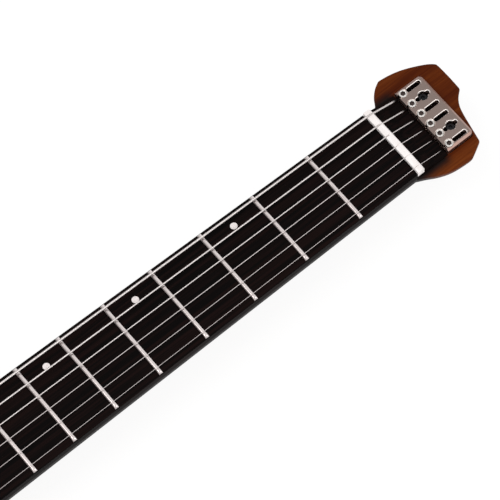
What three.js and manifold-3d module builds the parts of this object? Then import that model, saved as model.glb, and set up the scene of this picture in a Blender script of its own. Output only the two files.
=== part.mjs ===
// A headless electric guitar, lying on its back: +X towards the head, +Y the bass side,
// +Z out of the face. x = 0 is the line of the saddles and z = 0 the back of the body.
// All lengths are in millimetres.
import * as THREE from 'three';
import { mergeVertices } from 'three/addons/utils/BufferGeometryUtils.js';
import Module from 'manifold-3d';

const wasm = await Module();
wasm.setup();

// Scale, strings and clearances
const scaleLength = 648;
const fretCount = 24;
const octaveSteps = 12;
const stringDiameters = [1.17, 0.91, 0.66, 0.43, 0.33, 0.25];
const stringCount = stringDiameters.length;
const thickest = Math.max(...stringDiameters);
const nutSpread = 36.2;
const saddlePitch = 10.5;
const saddleSpread = saddlePitch * (stringCount - 1);
const gap = 0.3;
const overrun = 1;

// Fingerboard and frets
const board = { thickness: 5, rise: 8.5, crownRadius: 400, widthAtNut: 42.2, widening: 0.0301, overhang: 6 };
const fret = { height: 1.1, footWidth: 2.4, crownWidth: 1.1, inset: 0.4, rootShare: 0.3 };
const ramp = { lengthShare: 0.55, heightShare: 0.2 };
const nut = { length: 4, depth: 3, rise: 2.1, backFall: 0.4 };
const action = { nut: 0.4, saddleTreble: 2.7, saddleBass: 3.3 };

// Neck: a mahogany shaft with a heel that fills the body's pocket
const neck = { depthAtNut: 15, depthAtHeel: 17.5, heelDepth: 19.5, heelLength: 58, heelRun: 5 };
const shaftShares = { round: 2.3, square: 6, blend: 0.11, headFall: 0.5 };
const truss = {
  radius: 3, width: 6.6, depth: 7.5, margin: 8, wheelRadius: 5.5, wheelLength: 6, holeRadius: 0.9,
};

// Head: asymmetric wings round a flat metal plate that clamps the strings
const head = { length: 48, halfWidth: 32.5, thickness: 13, edge: 1.2, rim: 1.8, footShare: 0.72 };
const plate = { front: 19.8, length: 16.4, width: 41, thickness: 4, corner: 2.2, bevel: 1.1, recess: 1.5 };
const lock = { spread: 35.2, setback: 2.9, radius: 2.05, proud: 0.4, keyRadius: 1.15, keyDepth: 1.3 };
const slot = { width: 1.9, start: 5.9, length: 8, floor: 1 };
const headScrew = {
  radius: 2.3, headLength: 1.8, shankRadius: 1.3, shankLength: 8, keyRadius: 1.1, keyDepth: 1,
};
const stringEntry = { drop: 2.2, height: 2.4, tail: 7.4 };

// Body
const body = { thickness: 42, tail: -104, halfWidth: 157, edge: 7, mouthHalf: 31 };
const pocket = { depth: 16 };
const armBevel = { depth: 13, start: 90, reach: 70, turn: 0.19 };
const belly = { depth: 13, radius: 150, centreX: 75, edgeShare: 0.818, tilt: Math.PI / 3 };
const recess = { fingerRoom: 7, mouthFlare: 4 };

// Pickups
const pickup = { width: 36, span: 70, height: 21, rise: 7, corner: 3, side: 0.5 };
const pole = { radius: 2.3, rise: 0.5, rowSpread: 18 };
const pickupPlace = { bridge: 38, neckGap: 30 };

// Bridge: plate with a rear wall, sliding saddles, and blocks drawn back by thumb screws
const bridge = { front: 14, wallFront: -40, wallBack: -46, width: 76, base: 2.5, wallHeight: 11, corner: 3 };
const saddle = {
  width: 9.5, back: -7, footFront: 13, footHeight: 2.5, noseFront: 3.2, crest: 0.6, rearFall: 2.6,
};
const saddleStud = { x: 8, radius: 1.2, headRadius: 2.2, headHeight: 1.2, travel: 2 };
const block = { width: 9, front: -18, length: 13, height: 8.2, bevel: 1, wall: 1.5, pocket: 4, throat: 1 };
const ball = { radius: 1.5, length: 3, height: 6.5, room: 0.3 };
const tuner = { rodRadius: 1.3, axisHeight: 4.9, reach: 9, collarRadius: 3.4, collar: 1.6 };
const knurl = { radius: 4.75, length: 14, depth: 0.5, flutes: 12, bevel: 1 };
const bridgeScrew = { x: -12, inset: 3.6, headRadius: 3, headHeight: 1.5, radius: 1.6, length: 22 };

// Controls, jack and hardware
const cavity = { back: -72, front: 42, inset: 41, width: 48, corner: 12, roof: 6 };
const cover = { thickness: 2.4, lip: 4, sunk: 0.3 };
const pot = { radius: 8.5, height: 11, bushRadius: 3.6, bushRise: 2.5, nutRadius: 5.8, nutRise: 1.6 };
const knob = {
  radius: 9.5, length: 15, bevel: 1.2, shaftRadius: 2.6, lift: 0.5, hollowRadius: 7, hollow: 3.6,
};
const knobPlaces = { volume: { x: -8, inset: 73 }, tone: { x: -44, inset: 62 } };
const selector = {
  x: 26, inset: 65, radius: 5.8, rise: 2.6, flangeRadius: 7, flange: 1.2, drop: 22, throat: 3.5,
};
const lever = { radius: 1.4, tipRadius: 3.1, height: 15, below: 3, pivotDrop: 2 };
const jack = {
  inset: 55, radius: 6, flangeRadius: 9, flange: 2.6, sunk: 3, boreRadius: 3.3, boreDepth: 27, behind: 4,
};
const strapButton = {
  height: 14, headRadius: 7.5, waistRadius: 3.6, footRadius: 5.5, lip: 2.4, shank: 20, shankRadius: 1.7,
};
const strapInsets = { horn: 54, tail: 72 };
const neckPlate = { length: 46, width: 44, thickness: 3, sunk: 0.3, corner: 3, inset: 6.5, margin: 5 };
const neckBolt = { headRadius: 4, headHeight: 1.2, seat: 1.6, radius: 2.2, keyRadius: 1.5, spare: 5 };

// How many flat facets each kind of round gets
const facets = {
  fine: 22, stations: 18, round: 14, neck: 12, small: 8, string: 6, key: 6, crown: 4, corner: 3, edge: 2,
  slot: 2,
};

// Body outline as shares of the way from tail to neck joint and of the half width
const trebleSideShares = [
  [0.031, -0.395], [0.000, -0.586], [0.016, -0.790], [0.075, -0.930], [0.186, -1.000], [0.311, -0.962],
  [0.453, -0.854], [0.579, -0.745], [0.689, -0.701], [0.814, -0.726], [0.925, -0.771], [1.035, -0.796],
  [1.113, -0.758], [1.148, -0.662], [1.138, -0.573], [1.107, -0.484], [1.057, -0.395], [1.013, -0.306],
  [0.987, -0.242],
];
const bassSideShares = [
  [1.009, 0.242], [1.038, 0.306], [1.097, 0.395], [1.176, 0.471], [1.245, 0.561], [1.264, 0.656],
  [1.220, 0.758], [1.129, 0.803], [1.003, 0.771], [0.877, 0.707], [0.752, 0.675], [0.642, 0.713],
  [0.531, 0.809], [0.406, 0.924], [0.264, 0.962], [0.145, 0.911], [0.057, 0.777], [0.022, 0.573],
  [0.038, 0.369],
];
const trebleMouthShare = 0.981;
const notchMouthShare = 0.082;

// Lean of the head's sides where its carved underside begins, as a share of half a turn
const undersideLean = 1 / 8;

// Head outline as shares of its length past the nut and of its half width, corner to corner
const headRunShares = [
  [[-0.042, 0.631], [0.135, 0.631], [0.190, 0.702], [0.246, 0.828], [0.319, 0.932], [0.400, 1.000]],
  [[0.400, 1.000], [0.531, 0.975], [0.665, 0.923], [0.798, 0.840], [0.912, 0.751], [0.971, 0.686]],
  [[0.971, 0.686], [0.992, 0.634], [0.998, 0.369], [0.994, 0.105]],
  [[0.994, 0.105], [0.917, 0.003], [0.867, -0.111], [0.838, -0.237], [0.806, -0.452], [0.763, -0.763]],
  [[0.763, -0.763], [0.667, -0.862], [0.573, -0.914]],
  [[0.573, -0.914], [0.438, -0.905], [0.310, -0.874], [0.183, -0.802], [0.081, -0.719], [-0.042, -0.631]],
];

// Heights and places that follow from the sizes above
const faceZ = body.thickness;
const boardTopZ = faceZ + board.rise;
const neckTopZ = boardTopZ - board.thickness;
const fretX = (n) => scaleLength * 2 ** (-n / octaveSteps);
const boardEndX = fretX(fretCount) - board.overhang;
const mouthX = boardEndX + neck.heelLength;
const bodyRun = mouthX - body.tail;
const nutBackX = scaleLength + nut.length;
const plateFrontX = scaleLength + plate.front;
const plateTopZ = neckTopZ + plate.thickness;
const lockX = plateFrontX + lock.setback;
const pocketFloorZ = faceZ - pocket.depth;
const boardWidth = (x) => board.widthAtNut + board.widening * (scaleLength - x);
const crownFall = (y) => board.crownRadius - Math.sqrt(board.crownRadius ** 2 - y ** 2);
const trussZ = neckTopZ - truss.depth + truss.radius + gap;

const stringShare = (i) => 0.5 - i / (stringCount - 1);
const yAtSaddle = (i) => saddleSpread * stringShare(i);
const yAtNut = (i) => nutSpread * stringShare(i);
const yAtLock = (i) => lock.spread * stringShare(i);
const saddleAction = (i) =>
  THREE.MathUtils.lerp(action.saddleBass, action.saddleTreble, i / (stringCount - 1));
const nutContactZ = (i) => boardTopZ - crownFall(yAtNut(i)) + fret.height + action.nut;
const saddleContactZ = (i) => boardTopZ - crownFall(yAtSaddle(i)) + fret.height + saddleAction(i);

const blockFloorZ = faceZ + bridge.base + gap;
const rodZ = faceZ + tuner.axisHeight;
const ballZ = blockFloorZ + ball.height - gap;
const blockBackX = block.front - block.length;

// Finishes
const finishes = {
  mahogany: { color: '#5e2d12', roughness: 0.42, metalness: 0 },
  ebony: { color: '#171113', roughness: 0.4, metalness: 0 },
  bone: { color: '#efece4', roughness: 0.4, metalness: 0 },
  satinNickel: { color: '#9a9189', roughness: 0.38, metalness: 1 },
  steel: { color: '#c9c7c2', roughness: 0.28, metalness: 1 },
  blackMetal: { color: '#1c1c1e', roughness: 0.4, metalness: 0.8 },
  blackPlastic: { color: '#151516', roughness: 0.45, metalness: 0 },
};

// Geometry helpers

/** Keeps positions only, merges shared corners, drops slivers and turns faces outwards. */
function tidied(geometry) {
  const bare = geometry.clone();
  for (const name of Object.keys(bare.attributes)) if (name !== 'position') bare.deleteAttribute(name);
  const merged = mergeVertices(bare);
  const corners = [];
  for (let i = 0; i < merged.index.count; i += 3) {
    const [a, b, c] = [merged.index.getX(i), merged.index.getX(i + 1), merged.index.getX(i + 2)];
    if (a !== b && b !== c && c !== a) corners.push(a, b, c);
  }
  if (signedVolume(merged.attributes.position, corners) < 0) corners.reverse();
  merged.setIndex(corners);
  return merged;
}

/** Six times the volume that the triangles enclose, negative where they point inwards. */
function signedVolume(positions, corners) {
  const [a, b, c] = [new THREE.Vector3(), new THREE.Vector3(), new THREE.Vector3()];
  let sum = 0;
  for (let i = 0; i < corners.length; i += 3) {
    a.fromBufferAttribute(positions, corners[i]);
    b.fromBufferAttribute(positions, corners[i + 1]);
    c.fromBufferAttribute(positions, corners[i + 2]);
    sum += a.dot(b.cross(c));
  }
  return sum;
}

const solidOf = (geometry) => {
  const mesh = tidied(geometry);
  const vertProperties = new Float32Array(mesh.attributes.position.array);
  const triVerts = new Uint32Array(mesh.index.array);
  return new wasm.Manifold(new wasm.Mesh({ numProp: 3, vertProperties, triVerts }));
};

const geometryOf = (solid) => {
  const mesh = solid.getMesh();
  const geometry = new THREE.BufferGeometry();
  geometry.setAttribute('position', new THREE.BufferAttribute(new Float32Array(mesh.vertProperties), 3));
  geometry.setIndex([...mesh.triVerts]);
  return geometry;
};

const joined = (first, ...others) =>
  geometryOf(others.reduce((solid, other) => solid.add(solidOf(other)), solidOf(first)));
const without = (first, ...cuts) =>
  geometryOf(cuts.reduce((solid, cut) => solid.subtract(solidOf(cut)), solidOf(first)));

const box = (x0, x1, y0, y1, z0, z1) =>
  new THREE.BoxGeometry(x1 - x0, y1 - y0, z1 - z0).translate((x0 + x1) / 2, (y0 + y1) / 2, (z0 + z1) / 2);

const alongX = (geometry) => geometry.rotateZ(-Math.PI / 2);
const alongZ = (geometry) => geometry.rotateX(Math.PI / 2);

/** A round bar from `from` to `to` on the X axis, moved sideways to y and z. */
const barX = (radius, from, to, y, z, sides = facets.small) =>
  alongX(new THREE.CylinderGeometry(radius, radius, to - from, sides)).translate((from + to) / 2, y, z);

/** A round bar from `from` to `to` on the Z axis, moved sideways to x and y. */
const barZ = (radius, from, to, x, y, sides = facets.small) =>
  alongZ(new THREE.CylinderGeometry(radius, radius, to - from, sides)).translate(x, y, (from + to) / 2);

/** A turned shape from [radius, height] pairs that start and end on the axis. */
const turned = (pairs, sides) =>
  new THREE.LatheGeometry(pairs.map(([r, h]) => new THREE.Vector2(r, h)), sides);

/** A flat outline of [x, y] points made solid between two heights. */
const prism = (points, z0, z1) => {
  const shape = new THREE.Shape(points.map(([x, y]) => new THREE.Vector2(x, y)));
  return new THREE.ExtrudeGeometry(shape, { depth: z1 - z0, bevelEnabled: false }).translate(0, 0, z0);
};

/** A side profile of [x, z] points made solid between two places across the neck. */
const sideProfile = (points, y0, y1) => {
  const shape = new THREE.Shape(points.map(([x, z]) => new THREE.Vector2(x, z)));
  const solid = new THREE.ExtrudeGeometry(shape, { depth: y1 - y0, bevelEnabled: false });
  return solid.rotateX(Math.PI / 2).translate(0, y1, 0);
};

/** Corner points of a rectangle with rounded corners. */
const roundedBox = (x0, x1, y0, y1, radius, steps = facets.corner) => {
  const shape = new THREE.Shape();
  const centres = [[x1 - radius, y0 + radius], [x1 - radius, y1 - radius], [x0 + radius, y1 - radius],
    [x0 + radius, y0 + radius]];
  centres.forEach(([x, y], k) => shape.absarc(x, y, radius, (k - 1) * Math.PI / 2, k * Math.PI / 2));
  return shape.getPoints(steps).map((p) => [p.x, p.y]);
};

/** Skins rings of [x, y, z] points; `flat` names the two axes that the end caps are drawn in. */
function skin(rings, flat) {
  const size = rings[0].length;
  const corners = [];
  for (let ring = 0; ring + 1 < rings.length; ring += 1) {
    for (let k = 0; k < size; k += 1) {
      const [a, b] = [ring * size + k, ring * size + ((k + 1) % size)];
      corners.push(a, b, b + size, a, b + size, a + size);
    }
  }
  const cap = (ring) => THREE.ShapeUtils.triangulateShape(
    rings[ring].map((p) => new THREE.Vector2(p[flat[0]], p[flat[1]])), []);
  const turnsLeft = (ring) => THREE.ShapeUtils.area(
    rings[ring].map((p) => new THREE.Vector2(p[flat[0]], p[flat[1]]))) > 0;
  const last = rings.length - 1;
  const [startWay, endWay] = turnsLeft(0) ? [[0, 2, 1], [0, 1, 2]] : [[0, 1, 2], [0, 2, 1]];
  for (const face of cap(0)) corners.push(...startWay.map((k) => face[k]));
  for (const face of cap(last)) corners.push(...endWay.map((k) => face[k] + last * size));
  const geometry = new THREE.BufferGeometry();
  geometry.setAttribute('position', new THREE.Float32BufferAttribute(rings.flat(2), 3));
  geometry.setIndex(corners);
  return geometry;
}

/** Moves each point of a closed outline inwards by `depth`, square to its two sides. */
function insetOutline(points, depth) {
  const turn = THREE.ShapeUtils.area(points.map(([x, y]) => new THREE.Vector2(x, y))) > 0 ? 1 : -1;
  const count = points.length;
  const inward = (k) => {
    const [a, b] = [points[k % count], points[(k + 1) % count]];
    return new THREE.Vector2(a[1] - b[1], b[0] - a[0]).normalize().multiplyScalar(turn);
  };
  return points.map(([x, y], k) => {
    const [before, after] = [inward(k + count - 1), inward(k)];
    const reach = depth / (1 + before.dot(after));
    return [x + (before.x + after.x) * reach, y + (before.y + after.y) * reach];
  });
}

/** A slab between two heights with its upper and lower edges rounded in `steps` facets. */
function roundedSlab(points, z0, z1, radius, steps) {
  const layers = [];
  for (let k = 0; k <= steps; k += 1) {
    const angle = (k / steps) * (Math.PI / 2);
    layers.push([radius * (1 - Math.cos(angle)), radius * (1 - Math.sin(angle))]);
  }
  const lower = layers.map(([rise, inset]) => [z0 + rise, inset]);
  const upper = layers.map(([rise, inset]) => [z1 - rise, inset]).reverse();
  const rings = [...lower, ...upper].map(([z, inset]) =>
    insetOutline(points, inset).map(([x, y]) => [x, y, z]));
  return skin(rings, [0, 1]);
}

/** A curve through the points, cut into equal steps. */
const smooth = (points, steps) => {
  const curve = new THREE.SplineCurve(points.map(([x, y]) => new THREE.Vector2(x, y)));
  return curve.getSpacedPoints(steps).map((p) => [p.x, p.y]);
};

const part = new THREE.Group();

/** Adds one named piece in its finish, at a place. */
function add(name, geometry, finish, x = 0, y = 0, z = 0) {
  const mesh = new THREE.Mesh(tidied(geometry), new THREE.MeshStandardMaterial(finishes[finish]));
  mesh.name = name;
  mesh.position.set(x, y, z);
  part.add(mesh);
}

// Body: a slab with rounded edges, cut for the neck, pickups, controls, bridge and player
const bodyX = (share) => body.tail + share * bodyRun;
const notchHalf = (saddleSpread + saddlePitch) / 2 + recess.fingerRoom;
const notchX = bridge.wallBack + (bridge.wallFront - bridge.wallBack) / 3;
const notchMouthX = bodyX(notchMouthShare);

function bodyOutline() {
  const place = ([x, y]) => [bodyX(x), y * body.halfWidth];
  const trebleMouth = [bodyX(trebleMouthShare), -body.mouthHalf];
  const bassMouth = [mouthX, body.mouthHalf];
  const flare = notchHalf + recess.mouthFlare;
  const steps = facets.fine * 2;
  const treble = smooth([[notchMouthX, -flare], ...trebleSideShares.map(place), trebleMouth], steps);
  const bass = smooth([bassMouth, ...bassSideShares.map(place), [notchMouthX, flare]], steps);
  return [...treble, ...bass, [notchX, notchHalf], [notchX, -notchHalf]];
}

/** The heel's four corners seen from above, grown sideways by `side` and at its ends. */
function heelOutline(side, start, end) {
  const half = (x) => boardWidth(x) / 2 + side;
  return [[start, -half(start)], [end, -half(end)], [end, half(end)], [start, half(start)]];
}

const pickupX = { bridge: pickupPlace.bridge, neck: boardEndX - pickupPlace.neckGap };
const pickupOutline = (x, side) => roundedBox(x - pickup.width / 2 - side, x + pickup.width / 2 + side,
  -pickup.span / 2 - side, pickup.span / 2 + side, pickup.corner + side);
const trebleY = (inset) => inset - body.halfWidth;
const bassY = (inset) => body.halfWidth - inset;
const cavityFar = trebleY(cavity.inset);
const cavityOutline = (grow) => roundedBox(cavity.back - grow, cavity.front + grow, cavityFar - grow,
  cavityFar + cavity.width + grow, cavity.corner + grow);
const potPlaces = Object.entries(knobPlaces).map(([name, { x, inset }]) => [name, x, trebleY(inset)]);
const selectorPlace = [selector.x, trebleY(selector.inset)];
const jackY = trebleY(jack.inset);
const strapY = { horn: bassY(strapInsets.horn), tail: bassY(strapInsets.tail) };
const coverTopZ = cover.sunk + cover.thickness;
const cavityRoofZ = faceZ - cavity.roof;
const jackZ = faceZ / 2;
const jackFaceX = body.tail + jack.sunk - jack.flange;
const plateStartX = boardEndX + neckPlate.margin;
const plateTop = neckPlate.sunk + neckPlate.thickness;
const boltPlaces = [neckPlate.inset, neckPlate.length - neckPlate.inset].flatMap((x) =>
  [-1, 1].map((side) => [plateStartX + x, side * (neckPlate.width / 2 - neckPlate.inset)]));
const neckPlateOutline = (grow) => roundedBox(plateStartX - grow, plateStartX + neckPlate.length + grow,
  -neckPlate.width / 2 - grow, neckPlate.width / 2 + grow, neckPlate.corner + grow);
const wheelX = boardEndX - truss.wheelLength - gap * 3;
const bridgeScrewY = bridge.width / 2 - bridgeScrew.inset;
const hornX = bodyX(Math.max(...bassSideShares.map(([x]) => x)));
const strapHoleX = { horn: hornX - strapButton.shank, tail: body.tail + strapButton.shank };

function makeBody() {
  const slab = roundedSlab(bodyOutline(), 0, faceZ, body.edge, facets.corner);
  const slope = Math.atan2(armBevel.depth, armBevel.reach);
  const arm = box(-bodyRun, bodyRun, 0, armBevel.reach * 2, 0, body.thickness);
  arm.rotateX(-slope).rotateZ(armBevel.turn).translate(0, armBevel.start, faceZ);
  const bellyCut = new THREE.CylinderGeometry(belly.radius, belly.radius, belly.radius * 2, facets.fine * 2);
  bellyCut.rotateX(belly.tilt);
  bellyCut.translate(belly.centreX, body.halfWidth * belly.edgeShare + belly.radius * Math.sin(belly.tilt),
    belly.depth - belly.radius * Math.cos(belly.tilt));
  const pocketOutline = heelOutline(gap, boardEndX - gap, mouthX + body.edge * 2);
  const neckPocket = prism(pocketOutline, pocketFloorZ, faceZ + overrun);
  const routes = Object.values(pickupX).map((x) =>
    prism(pickupOutline(x, pickup.side), faceZ + pickup.rise - pickup.height, faceZ + overrun));
  const wheelRoom = truss.wheelRadius + gap * 2;
  const wheelRoute = box(wheelX - gap * 2, boardEndX, -wheelRoom, wheelRoom, trussZ - wheelRoom,
    faceZ + overrun);
  const hollow = prism(cavityOutline(0), -overrun, cavityRoofZ);
  const rebate = prism(cavityOutline(cover.lip), -overrun, coverTopZ);
  const holes = potPlaces.map(([, x, y]) =>
    barZ(pot.bushRadius + gap, cavityRoofZ - overrun, faceZ + overrun, x, y, facets.round));
  holes.push(barZ(selector.radius + gap, cavityRoofZ - overrun, faceZ + overrun, ...selectorPlace,
    facets.round));
  holes.push(barX(jack.radius + gap, body.tail - overrun, cavity.back + overrun, jackY, jackZ,
    facets.round));
  holes.push(barX(jack.flangeRadius + gap, body.tail - jack.flange * 2, body.tail + jack.sunk, jackY, jackZ,
    facets.fine));
  for (const [x, y] of boltPlaces) {
    holes.push(barZ(neckBolt.radius + gap, 0, pocketFloorZ + overrun, x, y));
  }
  for (const side of [-1, 1]) {
    holes.push(barZ(bridgeScrew.radius + gap, faceZ - bridgeScrew.length, faceZ + overrun, bridgeScrew.x,
      side * bridgeScrewY));
  }
  const strapHole = strapButton.shankRadius + gap;
  holes.push(barX(strapHole, strapHoleX.horn - gap, hornX + overrun, strapY.horn, jackZ));
  holes.push(barX(strapHole, body.tail - overrun, strapHoleX.tail + gap, strapY.tail, jackZ));
  const plateRecess = prism(neckPlateOutline(gap), -overrun, plateTop);
  const routed = without(slab, arm, bellyCut, neckPocket, ...routes, wheelRoute);
  return without(routed, hollow, rebate, ...holes, plateRecess);
}
add('body', makeBody(), 'mahogany');
add('control_cover', prism(cavityOutline(cover.lip - gap), cover.sunk, coverTopZ), 'blackPlastic');

// Neck plate and its four bolts
const boltSeat = barZ(neckBolt.headRadius + gap, 0, neckPlate.sunk + neckBolt.seat, 0, 0, facets.round);
const boltHole = barZ(neckBolt.radius + gap, 0, plateTop + overrun, 0, 0);
const plateCuts = boltPlaces.flatMap(([x, y]) =>
  [boltSeat, boltHole].map((cut) => cut.clone().translate(x, y, 0)));
add('neck_plate', without(prism(neckPlateOutline(0), neckPlate.sunk, plateTop), ...plateCuts), 'blackMetal');
const boltTopZ = neckTopZ - neckBolt.spare;
const boltHeadZ = neckPlate.sunk + neckBolt.seat - gap;
const boltLowZ = boltHeadZ - neckBolt.headHeight;
const boltProfile = [[0, boltLowZ], [neckBolt.headRadius, boltLowZ], [neckBolt.headRadius, boltHeadZ],
  [neckBolt.radius, boltHeadZ], [neckBolt.radius, boltTopZ], [0, boltTopZ]];
const boltKey = barZ(neckBolt.keyRadius, boltLowZ - neckBolt.headHeight, boltLowZ + neckBolt.headHeight, 0, 0,
  facets.key);
boltPlaces.forEach(([x, y], k) => {
  add(`neck_bolt_${k + 1}`, without(alongZ(turned(boltProfile, facets.small)), boltKey), 'blackMetal', x, y);
});

// Neck shaft: a flat top over a rounded back whose roundness and depth change along it
const ringShape = (x, depth, width, power) => {
  const ring = [];
  for (let k = 0; k <= facets.neck; k += 1) {
    const angle = Math.PI * (k / facets.neck);
    const [across, down] = [Math.cos(angle), Math.sin(angle)];
    const y = Math.sign(across) * Math.abs(across) ** (2 / power) * (width / 2);
    ring.push([x, y, neckTopZ - depth * Math.abs(down) ** (2 / power)]);
  }
  return ring;
};

function neckShaft() {
  const headX = scaleLength + head.length * shaftShares.headFall;
  const run = scaleLength - mouthX;
  const rings = [];
  for (let k = 0; k <= facets.stations; k += 1) {
    const share = k / facets.stations;
    const x = mouthX + share * run;
    const blend = THREE.MathUtils.smoothstep(share, 0, shaftShares.blend * 2);
    const power = THREE.MathUtils.lerp(shaftShares.square, shaftShares.round, blend);
    const slender = THREE.MathUtils.lerp(neck.depthAtHeel, neck.depthAtNut, share);
    const depth = THREE.MathUtils.lerp(neck.heelDepth - gap, slender, blend);
    rings.push(ringShape(x, depth, boardWidth(x), power));
  }
  rings.push(ringShape(headX, head.thickness - head.edge, board.widthAtNut, shaftShares.round));
  return skin(rings, [1, 2]);
}

/** The head's rings from its carved underside up to the rounded edge of its top. */
function headRings() {
  const place = ([x, y]) => [scaleLength + x * head.length, y * head.halfWidth];
  const outline = headRunShares.flatMap((run) =>
    smooth(run.map(place), run.length + facets.edge).slice(0, -1));
  const [carved, edge] = [[], []];
  const first = Math.PI * undersideLean;
  for (let k = 0; k <= facets.crown; k += 1) {
    const angle = THREE.MathUtils.lerp(first, Math.PI / 2, k / facets.crown);
    const down = (Math.sin(angle) - Math.sin(first)) / (1 - Math.sin(first));
    const z = neckTopZ - head.rim - (head.thickness - head.rim) * down;
    const share = THREE.MathUtils.lerp(head.footShare, 1, Math.cos(angle) / Math.cos(first));
    carved.push(outline.map(([x, y]) => [plateFrontX + (x - plateFrontX) * share, y * share, z]));
  }
  for (let k = 0; k <= facets.edge; k += 1) {
    const angle = (Math.PI / 2) * (k / facets.edge);
    const z = neckTopZ - head.edge * (1 - Math.sin(angle));
    edge.push(insetOutline(outline, head.edge * (1 - Math.cos(angle))).map(([x, y]) => [x, y, z]));
  }
  return [...carved.reverse(), ...edge];
}

const plateBackX = plateFrontX + plate.length;
const plateHalf = plate.width / 2;
const plateOutline = (grow) => {
  const [front, back, half] = [plateFrontX - grow, plateBackX + grow, plateHalf + grow];
  const shape = new THREE.Shape().moveTo(front, half).lineTo(front, -half);
  shape.absarc(back - plate.corner, plate.corner - half, plate.corner, -Math.PI / 2, 0);
  shape.absarc(back - plate.corner, half - plate.corner, plate.corner, 0, Math.PI / 2);
  return shape.getPoints(facets.corner).map((p) => [p.x, p.y]);
};
const plateFloorZ = neckTopZ - plate.recess;
const screwStrings = [1, stringCount - 2];
const headScrewX = plateFrontX + slot.start + slot.length / 2;
const headScrewSeatZ = plateFloorZ + slot.floor + gap;
const headScrewTopZ = headScrewSeatZ + headScrew.headLength;
const headScrewTipZ = headScrewSeatZ - headScrew.shankLength;

function makeNeck() {
  const wings = skin(headRings(), [0, 1]);
  const heel = prism(heelOutline(0, boardEndX, mouthX + neck.heelRun), pocketFloorZ, neckTopZ);
  const channel = box(boardEndX - overrun, scaleLength - truss.margin + gap, -truss.width / 2,
    truss.width / 2, neckTopZ - truss.depth, neckTopZ + overrun);
  const holes = boltPlaces.map(([x, y]) =>
    barZ(neckBolt.radius + gap, pocketFloorZ - overrun, boltTopZ + gap, x, y));
  const plateRecess = prism(plateOutline(gap), plateFloorZ, neckTopZ + overrun);
  for (const i of screwStrings) {
    holes.push(barZ(headScrew.shankRadius + gap, headScrewTipZ - gap, neckTopZ, headScrewX, yAtLock(i)));
  }
  return without(joined(neckShaft(), wings, heel), channel, plateRecess, ...holes);
}
add('neck', makeNeck(), 'mahogany');

// Truss rod in its channel, and the wheel that turns it at the end of the board
const rodEndX = boardEndX - gap * 2;
add('truss_rod', barX(truss.radius, rodEndX, scaleLength - truss.margin, 0, trussZ), 'steel');
const wheelHole = barZ(truss.holeRadius, -truss.wheelRadius - overrun, truss.wheelRadius + overrun, 0, 0,
  facets.key);
const wheelBar = barX(truss.wheelRadius, -truss.wheelLength / 2, truss.wheelLength / 2, 0, 0, facets.round);
add('truss_rod_wheel', without(wheelBar, wheelHole, wheelHole.clone().rotateX(Math.PI / 2)), 'steel',
  wheelX + truss.wheelLength / 2, 0, trussZ);

// Fingerboard: crowned strip that runs on behind the nut and ramps down to the string plate
const rampEndX = nutBackX + (plateFrontX - nutBackX) * ramp.lengthShare;
const boardTop = (x, y) => {
  const crown = boardTopZ - crownFall(y);
  if (x <= nutBackX) return crown;
  const share = Math.min(1, (x - nutBackX) / (rampEndX - nutBackX));
  return THREE.MathUtils.lerp(crown - nut.backFall * 2, neckTopZ + board.thickness * ramp.heightShare, share);
};
const boardRing = (x, topOf) => {
  const half = boardWidth(x) / 2;
  const ring = [[x, half, neckTopZ], [x, -half, neckTopZ]];
  for (let k = 0; k <= facets.crown; k += 1) {
    const y = THREE.MathUtils.lerp(-half, half, k / facets.crown);
    ring.push([x, y, topOf(x, y)]);
  }
  return ring;
};

function fretBar(n) {
  const x = fretX(n);
  const bar = (offset, rise) => {
    const half = boardWidth(x) / 2 - fret.inset;
    const root = boardTopZ - board.thickness * fret.rootShare;
    const ring = [[x + offset, half, root], [x + offset, -half, root]];
    for (let k = 0; k <= facets.crown; k += 1) {
      const y = THREE.MathUtils.lerp(-half, half, k / facets.crown);
      ring.push([x + offset, y, boardTopZ - crownFall(y) + rise]);
    }
    return ring;
  };
  const [foot, crown] = [fret.footWidth / 2, fret.crownWidth / 2];
  return skin([bar(-foot, 0), bar(-crown, fret.height), bar(crown, fret.height), bar(foot, 0)], [1, 2]);
}

const nutFloorZ = boardTopZ - nut.depth;

function makeBoard() {
  const stations = [boardEndX, scaleLength, nutBackX, nutBackX + gap, rampEndX, plateFrontX - gap * 2];
  const strip = skin(stations.map((x) => boardRing(x, boardTop)), [1, 2]);
  const nutSlot = box(scaleLength - gap, nutBackX + gap, -board.widthAtNut, board.widthAtNut, nutFloorZ,
    boardTopZ + overrun);
  const frets = Array.from({ length: fretCount }, (_, n) => fretBar(n + 1));
  return without(joined(strip, ...frets), nutSlot);
}
add('fretboard', makeBoard(), 'ebony');

// Nut: a bone bar whose slots carry the strings
function makeNut() {
  const ring = (x, rise) => {
    const half = board.widthAtNut / 2;
    const points = [[x, half, nutFloorZ], [x, -half, nutFloorZ]];
    for (let k = 0; k <= facets.crown; k += 1) {
      const y = THREE.MathUtils.lerp(-half, half, k / facets.crown);
      points.push([x, y, boardTopZ - crownFall(y) + rise]);
    }
    return points;
  };
  const bar = skin([ring(scaleLength, nut.rise - nut.backFall / 2),
    ring(scaleLength + nut.length / 5, nut.rise), ring(nutBackX - nut.length / 4, nut.rise),
    ring(nutBackX, nut.rise - nut.backFall * 2)], [1, 2]);
  const slots = stringDiameters.map((diameter, i) => {
    const half = diameter / 2 + gap;
    return box(scaleLength - overrun, nutBackX + overrun, yAtNut(i) - half, yAtNut(i) + half,
      nutContactZ(i) - nut.backFall - gap, boardTopZ + nut.rise + overrun);
  });
  return without(bar, ...slots);
}
add('nut', makeNut(), 'bone');

// String lock plate: strings enter its front face, pass under the lock screws and end in the slots
const entryZ = plateTopZ - stringEntry.drop;
const tailX = plateFrontX + stringEntry.tail;
const tailZ = plateFloorZ + slot.floor + gap + thickest / 2;

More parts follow.
